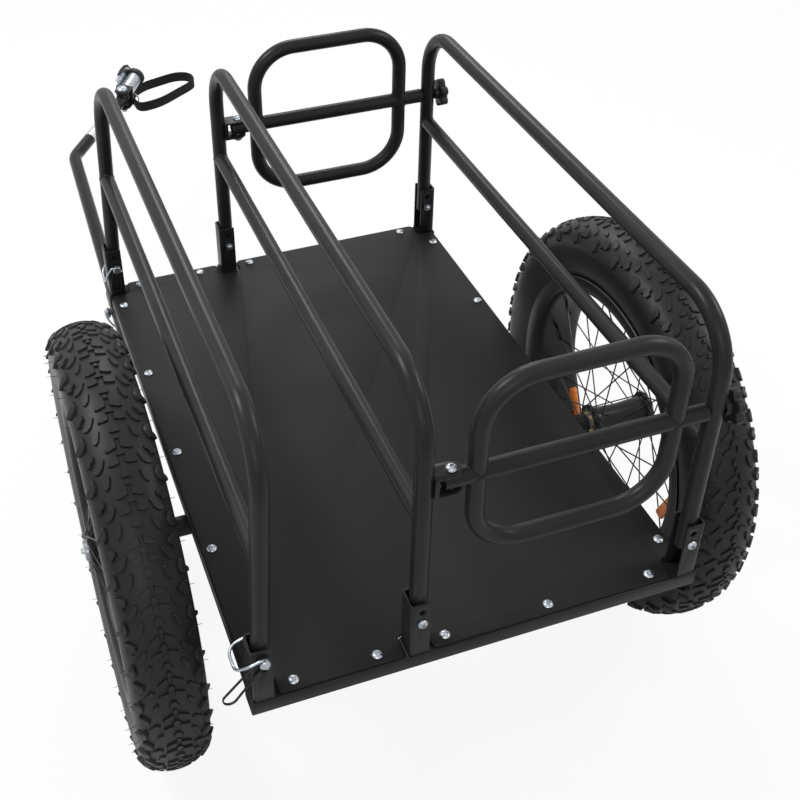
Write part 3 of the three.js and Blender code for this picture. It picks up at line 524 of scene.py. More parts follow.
def metal_finish(name, dark, light, roughness):
    """Bare metal with a faint cloud and a fine grain."""
    clouds = ((120.0, 3.0), (0.3, 0.7), (dark, light))
    start, sockets = (dark, roughness), {"Metallic": 1.0}
    rough, bump = (roughness - 0.06, 0.14), (0.00004, 0.4)
    return cloudy_finish(name, start, sockets, *clouds, rough, (800.0, 2.0), bump)


def powder_finish(base):
    """Satin black powder coat with its fine orange peel, dust in places and a little wear."""
    coat = Finish("powder_coat", base, 0.34, {"Specular IOR Level": 0.16})
    cloud = coat.noise(9.0, 4.0)
    speck = coat.noise(900.0, 2.0)
    coat.tint(cloud.ramp(0.35, 0.7), base, brighter(base, 1.5))
    coat.feed("Roughness", 0.27 + cloud * 0.1 + speck * 0.06)
    coat.bump(coat.noise(900.0, 1.0) * 0.5 + coat.noise(320.0, 1.0), 0.00005, 0.3)
    return coat.material


def gloss_finish(powder):
    """Smoother, glossier black of the tow bar and its sleeve."""
    base = brighter(powder, 0.5)
    clouds = ((14.0, 4.0), (0.35, 0.7), (base, brighter(base, 1.6)))
    sockets = {"Specular IOR Level": 0.14}
    rough, bump = (0.18, 0.1), (0.00006, 0.5)
    return cloudy_finish("tow_bar_gloss", (base, 0.22), sockets, *clouds, rough, (500.0, 1.0), bump)


def deck_finish(base):
    """Satin sheet with a fine grain, faint long scuffs and dust."""
    sheet = Finish("deck_sheet", base, 0.54, {"Specular IOR Level": 0.16})
    grain = sheet.noise(1500.0, 2.0)
    scuff = sheet.noise(30.0, 5.0, 0.6, stretch=(1.0, 0.06, 1.0)).ramp(0.6, 0.75)
    cloud = sheet.noise(4.0, 4.0)
    sheet.tint(scuff * 0.3 + cloud * 0.3, base, brighter(base, 1.6))
    sheet.feed("Roughness", 0.5 + cloud * 0.08 + scuff * 0.06)
    sheet.bump(grain + scuff * 0.4, 0.00005, 0.6)
    return sheet.material


def zinc_finish():
    """Bright zinc plate: cool, a little cloudy, with fine tool marks."""
    clouds = ((160.0, 4.0), (0.3, 0.7), ((0.5, 0.52, 0.54), (0.33, 0.37, 0.42)))
    start = ((0.5, 0.52, 0.55), 0.3)
    rough, bump = (0.26, 0.2), (0.00006, 0.5)
    return cloudy_finish("zinc_plate", start, {"Metallic": 1.0}, *clouds, rough, (700.0, 3.0), bump)


def plastic_finish():
    """Moulded black plastic with a fine spark-eroded grain."""
    clouds = ((40.0, 3.0), (0.3, 0.7), (shade(0.008), shade(0.015)))
    start, sockets = (shade(0.01), 0.5), {"Specular IOR Level": 0.3}
    rough, bump = (0.42, 0.16), (0.00008, 0.8)
    return cloudy_finish("moulded_plastic", start, sockets, *clouds, rough, (1100.0, 2.0), bump)


def rubber_finish(base):
    """Tyre rubber: dusty on the blocks, smoother and ribbed by the bead."""
    rubber = Finish("tyre_rubber", base, 0.4, {"Specular IOR Level": 0.2})
    radius = rubber.wheel_radius()
    crown = radius.ramp(0.255, 0.285)
    cloud = rubber.noise(22.0, 5.0)
    dust = rubber.noise(320.0, 3.0)
    rubber.tint(crown * cloud * 0.7 + dust * 0.12, base, brighter(base, 1.7))
    rubber.feed("Roughness", 0.34 + crown * 0.04 + cloud * 0.14)
    rings = (radius * 2600.0).sine() * radius.ramp(0.232, 0.226)
    rubber.bump(dust * 0.8 + rings * 0.5, 0.00012, 0.7)
    return rubber.material


def alloy_finish():
    """Black anodised alloy, with a brighter line where the rim's edge is machined."""
    alloy = Finish("black_anodised", shade(0.01), 0.3, {"Metallic": 0.0, "Specular IOR Level": 0.2})
    cloud = alloy.noise(60.0, 3.0)
    worn = alloy.wheel_radius().ramp(0.2122, 0.2128)
    alloy.tint(worn * 0.4 + cloud * 0.06, shade(0.009), shade(0.16))
    alloy.feed("Roughness", 0.28 + cloud * 0.16)
    alloy.bump(alloy.noise(900.0, 2.0), 0.00004, 0.5)
    return alloy.material


def webbing_finish():
    """Black webbing woven in a fine herringbone that follows the band, with painted shade in the
    weave's hollows.
    """
    sockets = {"Sheen Weight": 0.05, "Specular IOR Level": 0.12}
    webbing = Finish("webbing", shade(0.012), 0.85, sockets)
    uv = webbing.node("ShaderNodeUVMap", {"uv_map": "weave"})
    along, across, _ = webbing.parts(uv)
    warp = abs((across * 62.0).sine())
    weft = abs((along * 210.0 + abs(across - 0.5) * 24.0).sine())
    height = warp * 0.6 + weft * 0.6
    # Painted shade: the weave's hollows are darkened and its crests lightened, following the
    # weave's height
    webbing.tint(height.ramp(0.3, 1.1), shade(0.003), shade(0.013))
    webbing.feed("Roughness", 0.95 - height * 0.15)
    webbing.bump(height, 0.0004, 0.9)
    return webbing.material


def reflector_finish():
    """Amber reflector: clear skin over small prisms."""
    amber = Finish("amber_reflector", (0.9, 0.24, 0.02), 0.12, {"Coat Weight": 0.8})
    cell = amber.node("ShaderNodeTexVoronoi", None, Vector=amber.place(), Scale=420.0)
    amber.tint(cell.ramp(0.1, 0.7), (1.0, 0.36, 0.04), (0.75, 0.15, 0.01))
    amber.bump(cell, 0.0006, 0.5)
    return amber.material


def foil_finish():
    """Silver foil band with faint creases."""
    foil = Finish("foil_band", (0.62, 0.63, 0.63), 0.34, {"Metallic": 0.7})
    crease = foil.noise(70.0, 4.0)
    foil.tint(crease.ramp(0.3, 0.7), (0.52, 0.53, 0.53), (0.7, 0.71, 0.71))
    foil.feed("Roughness", 0.28 + crease * 0.16)
    foil.bump(crease, 0.0002, 0.4)
    return foil.material


FINISHES = {}
COLOURED = {
    "powder": (powder_finish, "powder"),
    "gloss": (gloss_finish, "powder"),
    "deck": (deck_finish, "deck"),
    "rubber": (rubber_finish, "rubber"),
}
PLAIN = {
    "zinc": zinc_finish,
    "plastic": plastic_finish,
    "alloy": alloy_finish,
    "webbing": webbing_finish,
    "reflector": reflector_finish,
    "foil": foil_finish,
}
METALS = {
    "brass": ("bearing_ring", (0.45, 0.36, 0.17), (0.62, 0.5, 0.26), 0.3),
    "steel": ("steel_wire", (0.5, 0.5, 0.5), (0.66, 0.66, 0.66), 0.25),
    "spoke": ("black_spoke", (0.03, 0.03, 0.03), (0.05, 0.05, 0.05), 0.34),
}


def finish_named(name):
    """Materials are made once, when a piece first asks for one."""
    if name not in FINISHES:
        if name in COLOURED:
            maker, source = COLOURED[name]
            FINISHES[name] = maker(getattr(bpy.context.scene.trailer_colours, source))
        elif name in METALS:
            FINISHES[name] = metal_finish(*METALS[name])
        else:
            FINISHES[name] = PLAIN[name]()
    return FINISHES[name]


# Sizes and colours that a user would change


class TrailerSizes(bpy.types.PropertyGroup):
    tread_depth: bpy.props.FloatProperty(
        name="Tread depth",
        description="Height of the tread blocks over the casing",
        default=0.004,
        min=0.0,
        max=0.006,
        unit="LENGTH",
    )
    tread_pitches: bpy.props.IntProperty(
        name="Tread pitches",
        description="Times the tread repeats round a tyre",
        default=33,
        min=12,
        max=60,
    )


def colour(name, description, default):
    return bpy.props.FloatVectorProperty(
        name=name, description=description, default=default, subtype="COLOR"
    )


class TrailerColours(bpy.types.PropertyGroup):
    powder: colour(
        "Powder coat", "Colour of frame, rails, gates and tow bar", (0.014, 0.014, 0.0145)
    )
    deck: colour("Deck", "Colour of the deck sheet", (0.011, 0.011, 0.011))
    rubber: colour("Rubber", "Colour of the tyres", (0.012, 0.012, 0.0125))


# Stage

PHOTO_SIZE = 800
PHOTO_FOCUS = 1224.62
PHOTO_AXIS = (337.2, 322.9)
SENSOR = 36
CAMERA_TURNS = (18.965, 37.098, -0.692)
CAMERA_PLACE = Vector((-454.4, -1229.4, 1142.7))
LAMP_TARGET = Vector((0, 0.1, 0))
LAMPS = {
    "key_softbox": ((-1.7, 0.7, 2.5), 0.9, 56),
    "fill_softbox": ((2.3, -0.4, 1.9), 0.8, 24),
    "rear_softbox": ((-0.9, -2.6, 1.7), 1.0, 12),
    "back_softbox": ((0.6, 2.6, 2.2), 0.9, 26),
}
ROOM_LIGHT = 0.42
FLOOR_GLOW_SHARE = 0.9
WHITE = (1, 1, 1, 1)


class TRAILER_OT_stage(bpy.types.Operator):
    """Pale floor, soft studio lamps and the camera"""

    bl_idname = "trailer.stage"
    bl_label = "Stage"

    def execute(self, context):
        scene = context.scene
        scene.view_settings.view_transform = "Standard"
        self.camera(scene)
        self.world(scene)
        self.floor()
        for name, (place, size, power) in LAMPS.items():
            self.lamp(name, place, size, power)
        return {"FINISHED"}

    def camera(self, scene):
        yaw, pitch, roll = (math.radians(a) for a in CAMERA_TURNS)
        look = Vector(
            (math.sin(yaw) * math.cos(pitch), math.cos(yaw) * math.cos(pitch), -math.sin(pitch))
        )
        right = Vector((math.cos(yaw), -math.sin(yaw), 0))
        up = right.cross(look)
        across = right * math.cos(roll) + up * math.sin(roll)
        above = up * math.cos(roll) - right * math.sin(roll)
        data = bpy.data.cameras.new("camera")
        camera = bpy.data.objects.new("camera", data)
        scene.collection.objects.link(camera)
        middle = PHOTO_SIZE / 2
        data.sensor_width = SENSOR
        data.lens = PHOTO_FOCUS * SENSOR / PHOTO_SIZE
        data.shift_x = (middle - PHOTO_AXIS[0]) / PHOTO_SIZE
        data.shift_y = (PHOTO_AXIS[1] - middle) / PHOTO_SIZE
        data.clip_start = 0.05
        axes = Matrix((across, above, -look)).transposed()
        camera.matrix_world = Matrix.Translation(CAMERA_PLACE * MM) @ axes.to_4x4()
        scene.camera = camera

    def world(self, scene):
        """White to the camera and in reflections, dimmer as light."""
        world = bpy.data.worlds.new("studio")
        world.use_nodes = True
        tree = world.node_tree
        shown = tree.nodes["Background"]
        shown.inputs["Color"].default_value = WHITE
        shown.inputs["Strength"].default_value = 1.0
        light = add_node(tree, "ShaderNodeBackground", {"Color": WHITE, "Strength": ROOM_LIGHT})
        ray = add_node(tree, "ShaderNodeLightPath").outputs
        seen = ray["Is Camera Ray"]
        for kind in ("Is Glossy Ray", "Is Transmission Ray"):
            either = add_node(tree, "ShaderNodeMath", {0: seen, 1: ray[kind]}, operation="MAXIMUM")
            seen = either.outputs[0]
        inputs = {0: seen, 1: light.outputs[0], 2: shown.outputs[0]}
        mix = add_node(tree, "ShaderNodeMixShader", inputs)
        tree.links.new(mix.outputs[0], tree.nodes["World Output"].inputs[0])
        scene.world = world

    def floor(self):
        deselect()
        bpy.ops.mesh.primitive_plane_add(size=40)
        floor = bpy.context.object
        floor.name = "floor"
        floor.data.transform(shift(z=FLOOR))
        material = bpy.data.materials.new("studio_floor")
        material.use_nodes = True
        tree = material.node_tree
        paint = tree.nodes["Principled BSDF"]
        paint.inputs["Base Color"].default_value = (0.9, 0.9, 0.9, 1)
        paint.inputs["Roughness"].default_value = 0.9
        glow = add_node(tree, "ShaderNodeEmission", {"Strength": 1.0})
        ray = add_node(tree, "ShaderNodeLightPath").outputs["Is Camera Ray"]
        factors = {0: ray, 1: FLOOR_GLOW_SHARE}
        share = add_node(tree, "ShaderNodeMath", factors, operation="MULTIPLY")
        inputs = {0: share.outputs[0], 1: paint.outputs[0], 2: glow.outputs[0]}
        mix = add_node(tree, "ShaderNodeMixShader", inputs)
        tree.links.new(mix.outputs[0], tree.nodes["Material Output"].inputs[0])
        floor.data.materials.append(material)

    def lamp(self, name, place, size, power):
        data = bpy.data.lights.new(name, "AREA")
        data.size = size
        data.energy = power
        lamp = bpy.data.objects.new(name, data)
        bpy.context.scene.collection.objects.link(lamp)
        lamp.location = place
        lamp.rotation_euler = (LAMP_TARGET - Vector(place)).to_track_quat("-Z", "Y").to_euler()


# Frame and deck

AXLE_TUBE_RADIUS = 13.5
AXLE_TUBE_WALL = 5.2
SLEEVE_RADIUS = 14.0
SLEEVE_WALL = 1.8
SLEEVE_ENDS = (-180, 22)
PLUG_ROUND = 0.9
DECK_ROUND = 0.6


class TRAILER_OT_frame(bpy.types.Operator):
    """Frame tubes, end plugs, axle tube and tow sleeve"""

    bl_idname = "trailer.frame"
    bl_label = "Frame"

    def execute(self, context):
        tubes = ("front_tube", "rear_tube", "left_tube", "right_tube", "cross_front", "cross_rear")
        for part in tubes:
            node = "frame_" + part
            dressed(refined(node), node + "_coated", "trailer", "powder", node)
        for end in ("front", "rear"):
            for hand in ("left", "right"):
                node = f"end_plug_{end}_{hand}"
                dressed(refined(node, PLUG_ROUND, 3), node + "_moulded", "trailer", "plastic", node)
        ends = [(x, AXLE_Y, AXLE_Z) for x in (-AXLE_TUBE_REACH, AXLE_TUBE_REACH)]
        axle_tube = tube(ends, AXLE_TUBE_RADIUS, wall=AXLE_TUBE_WALL, sides=10)
        dressed(axle_tube, "axle_tube_round", "trailer", "powder", "axle_cross_tube")
        ends = [(0, y, 0) for y in SLEEVE_ENDS]
        sleeve = tube(ends, SLEEVE_RADIUS, wall=SLEEVE_WALL, sides=10)
        dressed(moved(sleeve, tow_place()), "tow_sleeve_round", "trailer", "gloss", "tow_sleeve")
        dressed(self.welds(), "frame_welds", "trailer", "powder")
        return {"FINISHED"}

    def welds(self):
        """Beads where the frame's tubes, the axle tube and the sleeve meet."""
        beads = []
        inner = FRAME_HALF_LENGTH - FRAME_TUBE_WIDTH
        side = FRAME_HALF_WIDTH - FRAME_TUBE_WIDTH
        low = FRAME_TOP - FRAME_TUBE_HEIGHT
        for sx in (-1, 1):
            near, outer = sx * side, sx * FRAME_HALF_WIDTH
            for y in (-inner, inner):
                beads.append(bead([(near, y, low), (outer, y, low)]))
                beads.append(bead([(outer, y, low), (outer, y, FRAME_TOP)]))
            for y in CROSS_SIDES:
                beads.append(bead([(near, y, low), (near, y, FRAME_TOP)]))
                far = y + (FRAME_TUBE_WIDTH - 1 if y in CROSS_SIDES[::2] else 0)
                beads.append(bead([(near, y, low), (sx * (side - 0.2), far, low)]))
            for y in (AXLE_Y - 5.5, AXLE_Y + 5.5):
                beads.append(bead([(near, y, low - 1.0), (outer, y, low - 1.0)], 1.8))
        for x in (-6, 6):
            beads.append(bead([tow_point(x, -170, 13.2), tow_point(x, -14, 13.2)], 1.6))
        return joined(*beads)


BEAD_STEP = 1.6
RIPPLE = 0.14
RIPPLE_RATE = 3.9


def bead(ends, width=1.2):
    """A weld bead: a thin run with its ripples."""
    start, end = Vector(ends[0]), Vector(ends[1])
    run = end - start
    count = max(4, int(run.length / BEAD_STEP))
    obj = tube([start + run * k / count for k in range(count + 1)], width, sides=2)
    for vertex in obj.data.vertices:
        along = (vertex.co / MM - start).dot(run.normalized())
        axis = (start + run.normalized() * along) * MM
        swell = 1 - RIPPLE + RIPPLE * math.cos(along * RIPPLE_RATE)
        vertex.co = axis + (vertex.co - axis) * swell
    return obj


def tow_place():
    return Matrix.Translation(TOW_ORIGIN * MM) @ turn(-TOW_SLANT, "Z")


def tow_point(x, y, z=0):
    return tow_place() @ (Vector((x, y, z)) * MM) / MM


DECK_SCREWS = (
    [(x, y) for y in (-407, 407) for x in (-228.6, -128.5, -44.7, 87.8, 223.6)]
    + [(-264.7, y) for y in (358.9, 179.0, -0.3, -186.5, -361.0)]
    + [(264.7, y) for y in (358.9, 179.0, -0.3, -186.5, -361.4)]
)


class TRAILER_OT_deck(bpy.types.Operator):
    """Deck sheet and its cross-recessed screws"""

    bl_idname = "trailer.deck"
    bl_label = "Deck"

    def execute(self, context):
        sheet = refined("deck_panel", DECK_ROUND)
        dressed(sheet, "deck_sheet", "trailer", "deck", "deck_panel")
        model = self.screw()
        dice = random.Random(4)
        screws = [
            copied(model, shift(x, y, 0) @ turn(dice.uniform(0, math.pi), "Z"))
            for x, y in DECK_SCREWS
        ]
        discard(model)
        dressed(joined(*screws), "deck_screws", "trailer", "zinc")
        return {"FINISHED"}

    def screw(self):
        profile = [(0, 0), (0, 6.4), (1.0, 6.5), (2.1, 5.7), (3.0, 4.1), (3.5, 2.1), (3.6, 0)]
        head = spun(profile, 24, Z)
        cross = [
            moved(box(6.6, 1.5, 3.4), shift(z=3.8) @ turn(math.radians(spin), "Z"))
            for spin in (0, 90)
        ]
        return drilled(head, *cross)


# Feet


class TRAILER_OT_feet(bpy.types.Operator):
    """Foot brackets with their welds, and the foot bolts"""

    bl_idname = "trailer.feet"
    bl_label = "Feet"

    def execute(self, context):
        model, bolt = self.bracket(), self.bolt()
        for rail, x in RAIL_X.items():
            mirror = Matrix.Diagonal((-1, 1, 1, 1)) if rail == "right" else Matrix.Identity(4)
            for end, sign in (("front", 1), ("rear", -1)):
                name = f"foot_bracket_{rail}_{end}"
                bracket = copied(model, shift(x, sign * POST_Y) @ mirror)
                dressed(bracket, name + "_bent", "trailer", "powder", name)
                if rail == "left":
                    continue
                name = f"foot_bolt_{rail}_{end}"
                flip = turn(0 if sign > 0 else math.pi, "Z")
                twin = copied(bolt, shift(x, sign * POST_Y, LOWER_HOLE) @ flip)
                dressed(twin, name + "_turned", "trailer", "zinc", name)
        discard(model, bolt)
        return {"FINISHED"}

    def bracket(self):
        depth, web, wall = BRACKET_DEPTH, -BRACKET_WEB, BRACKET_WALL
        inner = depth - wall
        half = [(BRACKET_OPEN, depth), (BRACKET_OPEN, inner), (web + wall, inner)]
        corners = [(web, -depth), (web, depth), *half]
        corners += [(x, -y) for x, y in reversed(half)]
        corners = [corners[-1], *corners[:-1]]
        outline = fillet(corners, [0, 4, 4, 0, 0, 1.5, 1.5, 0], 6)
        obj = moved(plate(outline, BRACKET_TOP - FRAME_TOP), shift(z=FRAME_TOP))
        holes = [rod((0, -30, z), (0, 30, z), 4.3, 28) for z in (LOWER_HOLE, UPPER_HOLE)]
        obj = bevelled(drilled(obj, *holes), 0.4, 2, 40)
        foot = FRAME_TOP + 0.4
        back, front, rear = web - 0.3, depth + 0.2, -depth - 0.1
        return joined(
            obj,
            bead([(back, -depth, foot), (back, depth, foot)], 1.5),
            bead([(web, front, foot), (BRACKET_OPEN, front, foot)], 1.5),
            bead([(web, rear, foot), (BRACKET_OPEN, rear, foot)], 1.1),
        )

    def bolt(self):
        wall = BRACKET_DEPTH + 0.3
        dome = stepped(wall, (0, 0), (0, 6.2), (1.4, 6.2), (2.9, 5.2), (3.9, 3.2), (4, 0))
        head = drilled(spun(dome, 32), rod((wall + 1.6, 0, 0), (wall + 6, 0, 0), 2.3, 6))
        shank = spun(threaded(wall - 3, -(wall + 8), 3.0, 15), 20)
        nut = hex_nut(-wall, -wall - 5.5, 10)
        return moved(joined(head, shank, nut), turn(math.pi / 2, "Z"))


def threaded(start, end, radius, smooth_length):
    """Profile of a bolt's shank: plain, then with rings for its thread."""
    way = 1 if end > start else -1
    profile = [(start, 0), (start, radius)]
    place = start + way * smooth_length
    while (end - place) * way > 1.0:
        profile += [(place, radius), (place + way * 0.5, radius * 0.86)]
        place += way * 1.0
    return profile + [(end - way * 0.5, radius * 0.9), (end, radius * 0.7), (end, 0)]


def hex_nut(start, end, flats):
    """A hexagon nut along X with its corners turned down."""
    radius = flats / math.sqrt(3)
    nut = rod((start, 0, 0), (end, 0, 0), radius, 6)
    low, high = min(start, end), max(start, end)
    edge, crown = radius * 0.9, radius * 1.01
    near = [(0, 0), (0, edge), (1, crown)]
    far = stepped(high, *reversed(near), way=-1)
    cone = spun(stepped(low, *near) + far, 36)
    modified(nut, "BOOLEAN", object=cone, operation="INTERSECT", solver="EXACT")
    discard(cone)
    return nut


# Rails


class TRAILER_OT_rails(bpy.types.Operator):
    """The three hoop rails with their middle bars"""

    bl_idname = "trailer.rails"
    bl_label = "Rails"

    def execute(self, context):
        for rail, x in RAIL_X.items():
            parts = self.hoop(rail)
            if rail == "middle":
                parts += [clevis(1), clevis(-1)]
            obj = smooth(joined(*parts))
            if rail == "left":
                moved(obj, shift(z=LEAN_PIVOT) @ turn(LEAN, "Y") @ shift(z=-LEAN_PIVOT))
            moved(obj, shift(x))
            finished(obj, f"rail_{rail}_tube", "trailer", "powder", f"rail_{rail}")
        return {"FINISHED"}

    def hoop(self, rail):
        post = [(0, POST_Y, RAIL_FOOT), (0, POST_Y, RAIL_TOP)]
        corners = post + [(0, -y, z) for _, y, z in reversed(post)]
        hoop = tube(rounded(corners, RAIL_BEND, 14), RAIL_RADIUS, wall=RAIL_WALL, sides=10)
        reach = POST_Y - 6
        bar = tube([(0, -reach, RAIL_MIDDLE), (0, reach, RAIL_MIDDLE)], RAIL_RADIUS, sides=10)
        beads = [weld_bead(-way, way * POST_Y + Z * RAIL_MIDDLE) for way in (Y, -Y)]
        if rail == "right":
            holes = [
                rod((-20, y, GATE_HEIGHT), (20, y, GATE_HEIGHT), 4.6, 24)
                for y in (-POST_Y, POST_Y)
            ]
            hoop = drilled(hoop, *holes)
        return [hoop, bar, *beads]


def clevis(sign):
    """A bent channel welded to the post, with two round-ended ears."""
    reach = GATE_PIVOT - RAIL_X["middle"]
    half, inner, outer = 12, RAIL_RADIUS + 0.6, RAIL_RADIUS + 3.1
    nose = [(reach + y, -x) for x, y in arc(half, 0, math.pi, 15)]
    obj = moved(plate([(8, -half), *nose, (8, half)], 2 * outer), shift(z=-outer))
    slot = moved(box(60, 60, 2 * inner), shift(x=RAIL_RADIUS + 2.5 + 30))
    post = rod((0, 0, -30), (0, 0, 30), RAIL_RADIUS - 0.5, 32)
    hole = rod((reach, 0, -30), (reach, 0, 30), BOLT_HOLE, 24)
    obj = bevelled(drilled(obj, slot, post, hole), 0.5, 2, 40)
    return moved(obj, shift(y=sign * POST_Y, z=GATE_HEIGHT))


# Gates

GATE_BAR_END = 253.3
KNOB_LOBES = 6
KNOB_RING = 16.0
KNOB_LOBE = 7.0
KNOB_THICKNESS = 11


class TRAILER_OT_gates(bpy.types.Operator):
    """Swing gates, clevis bolts and star knobs"""

    bl_idname = "trailer.gates"
    bl_label = "Gates"

    def execute(self, context):
        gate, bolt, knob = self.gate(), self.bolt(), self.knob()
        knob_bolt = spun(threaded(3, -10.4, 4.0, 2), 20)
        for end, sign in (("front", 1), ("rear", -1)):
            place = shift(y=sign * POST_Y)
            at = shift(RAIL_X["right"], sign * POST_Y, GATE_HEIGHT)
            swing, turning = f"gate_{end}", f"knob_{end}"
            star, hinge = f"star_knob_{end}", f"gate_bolt_{end}"
            dressed(copied(gate, place), swing + "_tube", swing, "powder", swing)
            dressed(copied(bolt, place), hinge + "_hex", "trailer", "zinc", hinge)
            dressed(copied(knob, at), star + "_moulded", turning, "plastic", star)
            dressed(copied(knob_bolt, at), star + "_bolt", turning, "zinc")
        discard(gate, bolt, knob, knob_bolt)
        return {"FINISHED"}

    def gate(self):
        (left, right), (low, high) = GATE_SIDES, GATE_ENDS
        middle = (left + right) / 2
        places = [(middle, high), (right, high), (right, low), (left, low), (left, high)]
        corners = [(x, 0, z) for x, z in [*places, places[0]]]
        loop = tube(rounded(corners, GATE_BEND, 14)[:-1], RAIL_RADIUS, cyclic=True, sides=10)
        ends = [(GATE_PIVOT - 9, 0, GATE_HEIGHT), (GATE_BAR_END, 0, GATE_HEIGHT)]
        bar = tube(ends, RAIL_RADIUS, wall=RAIL_WALL, sides=10)
        up = shift(z=GATE_HEIGHT)
        cap = moved(spun([(252.6, 0), (252.6, 9.6), (250, 9.6), (250, 0)], 32), up)
        ring = moved(spun([(252.7, 4.4), (252.7, 7), (253.2, 7), (253.2, 4.4)], 24), up)
        beads = [weld_bead(way, (x, 0, GATE_HEIGHT)) for x in GATE_SIDES for way in (X, -X)]
        hole = [(GATE_PIVOT, 0, GATE_HEIGHT + rise) for rise in (-30, 30)]
        return joined(loop, drilled(bar, rod(*hole, BOLT_HOLE, 24)), cap, ring, *beads)

    def bolt(self):
        outer = RAIL_RADIUS + 3.4
        steps = [(0, 0), (0, 6.2), (0.5, 6.5), (2.2, 6.0), (3.7, 4.6), (4.5, 2.6), (4.5, 0)]
        recess = rod((outer + 2, 0, 0), (outer + 7, 0, 0), 2.5, 6)
        head = drilled(spun(stepped(outer, *steps), 32), recess)
        washer = spun(stepped(-outer, (0, 4.2), (0, 7.4), (1.1, 7.4), (1.1, 4.2), way=-1), 32)
        shank = spun(threaded(outer + 1, -outer - 8.5, 4.0, 24), 20)
        nut = hex_nut(-outer - 1.1, -outer - 5.5, 13)
        obj = moved(joined(washer, head, shank, nut), turn(-math.pi / 2, "Y"))
        return moved(obj, shift(GATE_PIVOT, 0, GATE_HEIGHT))

    def knob(self):
        outline = []
        for x, y in arc(KNOB_RING, 0, FULL_TURN, KNOB_LOBES)[:-1]:
            middle = math.atan2(y, x)
            for dx, dy in arc(KNOB_LOBE, middle - math.pi / 2, math.pi, 8):
                outline.append((x + dx, y + dy))
        star = moved(plate(outline, KNOB_THICKNESS), shift(z=RAIL_RADIUS + 6.4))
        star = bevelled(star, 1.8, 3, 40)
        hub = spun([(11.1, 4.2), (11.1, 8.6), (11.9, 9.3), (18, 10), (18, 4.2)], 32, Z)
        crown = [(26, 0), (26, 10.5), (28.3, 10.0), (29, 8.6), (29, 5), (28.4, 4.2), (28.4, 0)]
        return moved(joined(star, hub, spun(crown, 32, Z)), turn(math.pi / 2, "Y"))


# Lock pins

TETHER_START = 4.3
TETHER_END = 7.5
TETHER_BAND = 1.4
TETHER_WIDTH = 3
PIN_NECK = 4
PIN_HEAD = 6
BAIL_WIRE = 1.7


class TRAILER_OT_pins(bpy.types.Operator):
    """Wire-lock pins with their bails and tethers"""

    bl_idname = "trailer.pins"
    bl_label = "Lock pins"

    def execute(self, context):
        left, tow = RAIL_X["left"], tow_place() @ shift(y=-30) @ turn(-math.pi / 2, "Z")
        self.pin("left_front", shift(left, POST_Y, LOWER_HOLE), 54, 14.5, (3.5, 34))
        self.pin("left_rear", shift(left, -POST_Y, UPPER_HOLE), 20, 14.5, (40, 48))
        self.pin("tow", tow, 90, 14.0, (30, 22))
        return {"FINISHED"}

    def pin(self, name, place, tilt, grip, tether):
        neck = -grip - PIN_NECK
        head_end = neck - PIN_HEAD
        hinge = (neck + head_end) / 2
        nose = grip + 6.5
        shank = stepped(neck, (-2, 0), (-2, 4))
        shank += stepped(nose, (2, 4), (0.8, 3.2), (0, 2), (0, 0), way=-1)
        head = [(0, 0), (0, 5.1), (0.9, 6), (PIN_HEAD - 0.9, 6), (PIN_HEAD, 5.1), (PIN_HEAD, 0)]
        head = spun(stepped(head_end, *head), 32)
        pin = joined(drilled(head, rod((hinge, 0, -20), (hinge, 0, 20), 2.0, 16)), spun(shank, 24))
        tilted = place @ turn(-math.radians(tilt), "Y")
        moved(pin, tilted @ turn(math.pi / 2, "Z"))
        dressed(pin, f"lock_pin_{name}_turned", "trailer", "zinc", f"lock_pin_{name}")
        far = nose + BAIL_WIRE + 0.6
        route = [(0, hinge, -8.5), (0, hinge, 8.5), (-16.5, hinge, 8.5)]
        route += [(-33, hinge / 2, 0), (-33, far, 0), (3, far, 0)]
        bail = moved(tube(rounded(route, [3.4, 14, 14, 14], 7), BAIL_WIRE, sides=5), tilted)
        dressed(bail, f"pin_bail_{name}_wire", f"bail_{name}", "zinc", f"pin_bail_{name}")
        strap = moved(self.tether(grip, *tether), place)
        dressed(strap, f"pin_tether_{name}_band", "trailer", "plastic", f"pin_tether_{name}")

    def tether(self, grip, reach, drop):
        """A flat band round the pin's neck and out to a wider loop."""
        angle = math.atan2(-drop, -reach)
        length = math.hypot(reach, drop)
        tilt = math.asin((TETHER_END - TETHER_START) / length)
        swell = TETHER_BAND / 2
        spots = arc(TETHER_START + swell, math.pi / 2 + tilt, math.pi - 2 * tilt, 14)
        end = arc(TETHER_END + swell, -math.pi / 2 - tilt, math.pi + 2 * tilt, 14)
        spots += [(length + x, y) for x, y in end]
        c, s = math.cos(angle), math.sin(angle)
        near = -grip - PIN_NECK / 2 - TETHER_WIDTH / 2
        ring = ring_of([(x * c - y * s, near, x * s + y * c) for x, y in spots])
        edit(ring)
        bpy.ops.mesh.extrude_edges_move(
            TRANSFORM_OT_translate={"value": (0, TETHER_WIDTH * MM, 0)}
        )
        ring = modified(close_up(), "SOLIDIFY", thickness=TETHER_BAND * MM, offset=0)
        return bevelled(ring, 0.4, 2, 40)


# Wheels


def wheel_place(hand):
    sign = 1 if hand == "right" else -1
    spin = Matrix.Identity(4) if sign > 0 else turn(math.pi, "Z")
    return shift(sign * WHEEL_X, AXLE_Y, AXLE_Z) @ spin


# Half of the casing's section, from the bead to the crown, as half width and radius
CASING = [
    (33.6, 204.5), (36.0, 213.0), (39.6, 222.0), (42.6, 233.0), (44.2, 244.0), (44.3, 254.0),
    (42.6, 263.8), (38.0, 272.2), (30.0, 279.7), (20.0, 284.7), (10.0, 287.1), (0.0, 287.8),
]
LINING = [(28, 206), (38, 240), (26, 272), (0, 280), (-26, 272), (-38, 240), (-28, 206)]
TREAD_PITCH = 55.3
TREAD_PHASE = math.radians(98.7)
SHOULDER = 40
CENTRE_SHARE = 0.66
BLOCK_SINK = 0.8
VENT_REACH = 60
VENT_RADIUS = 0.45

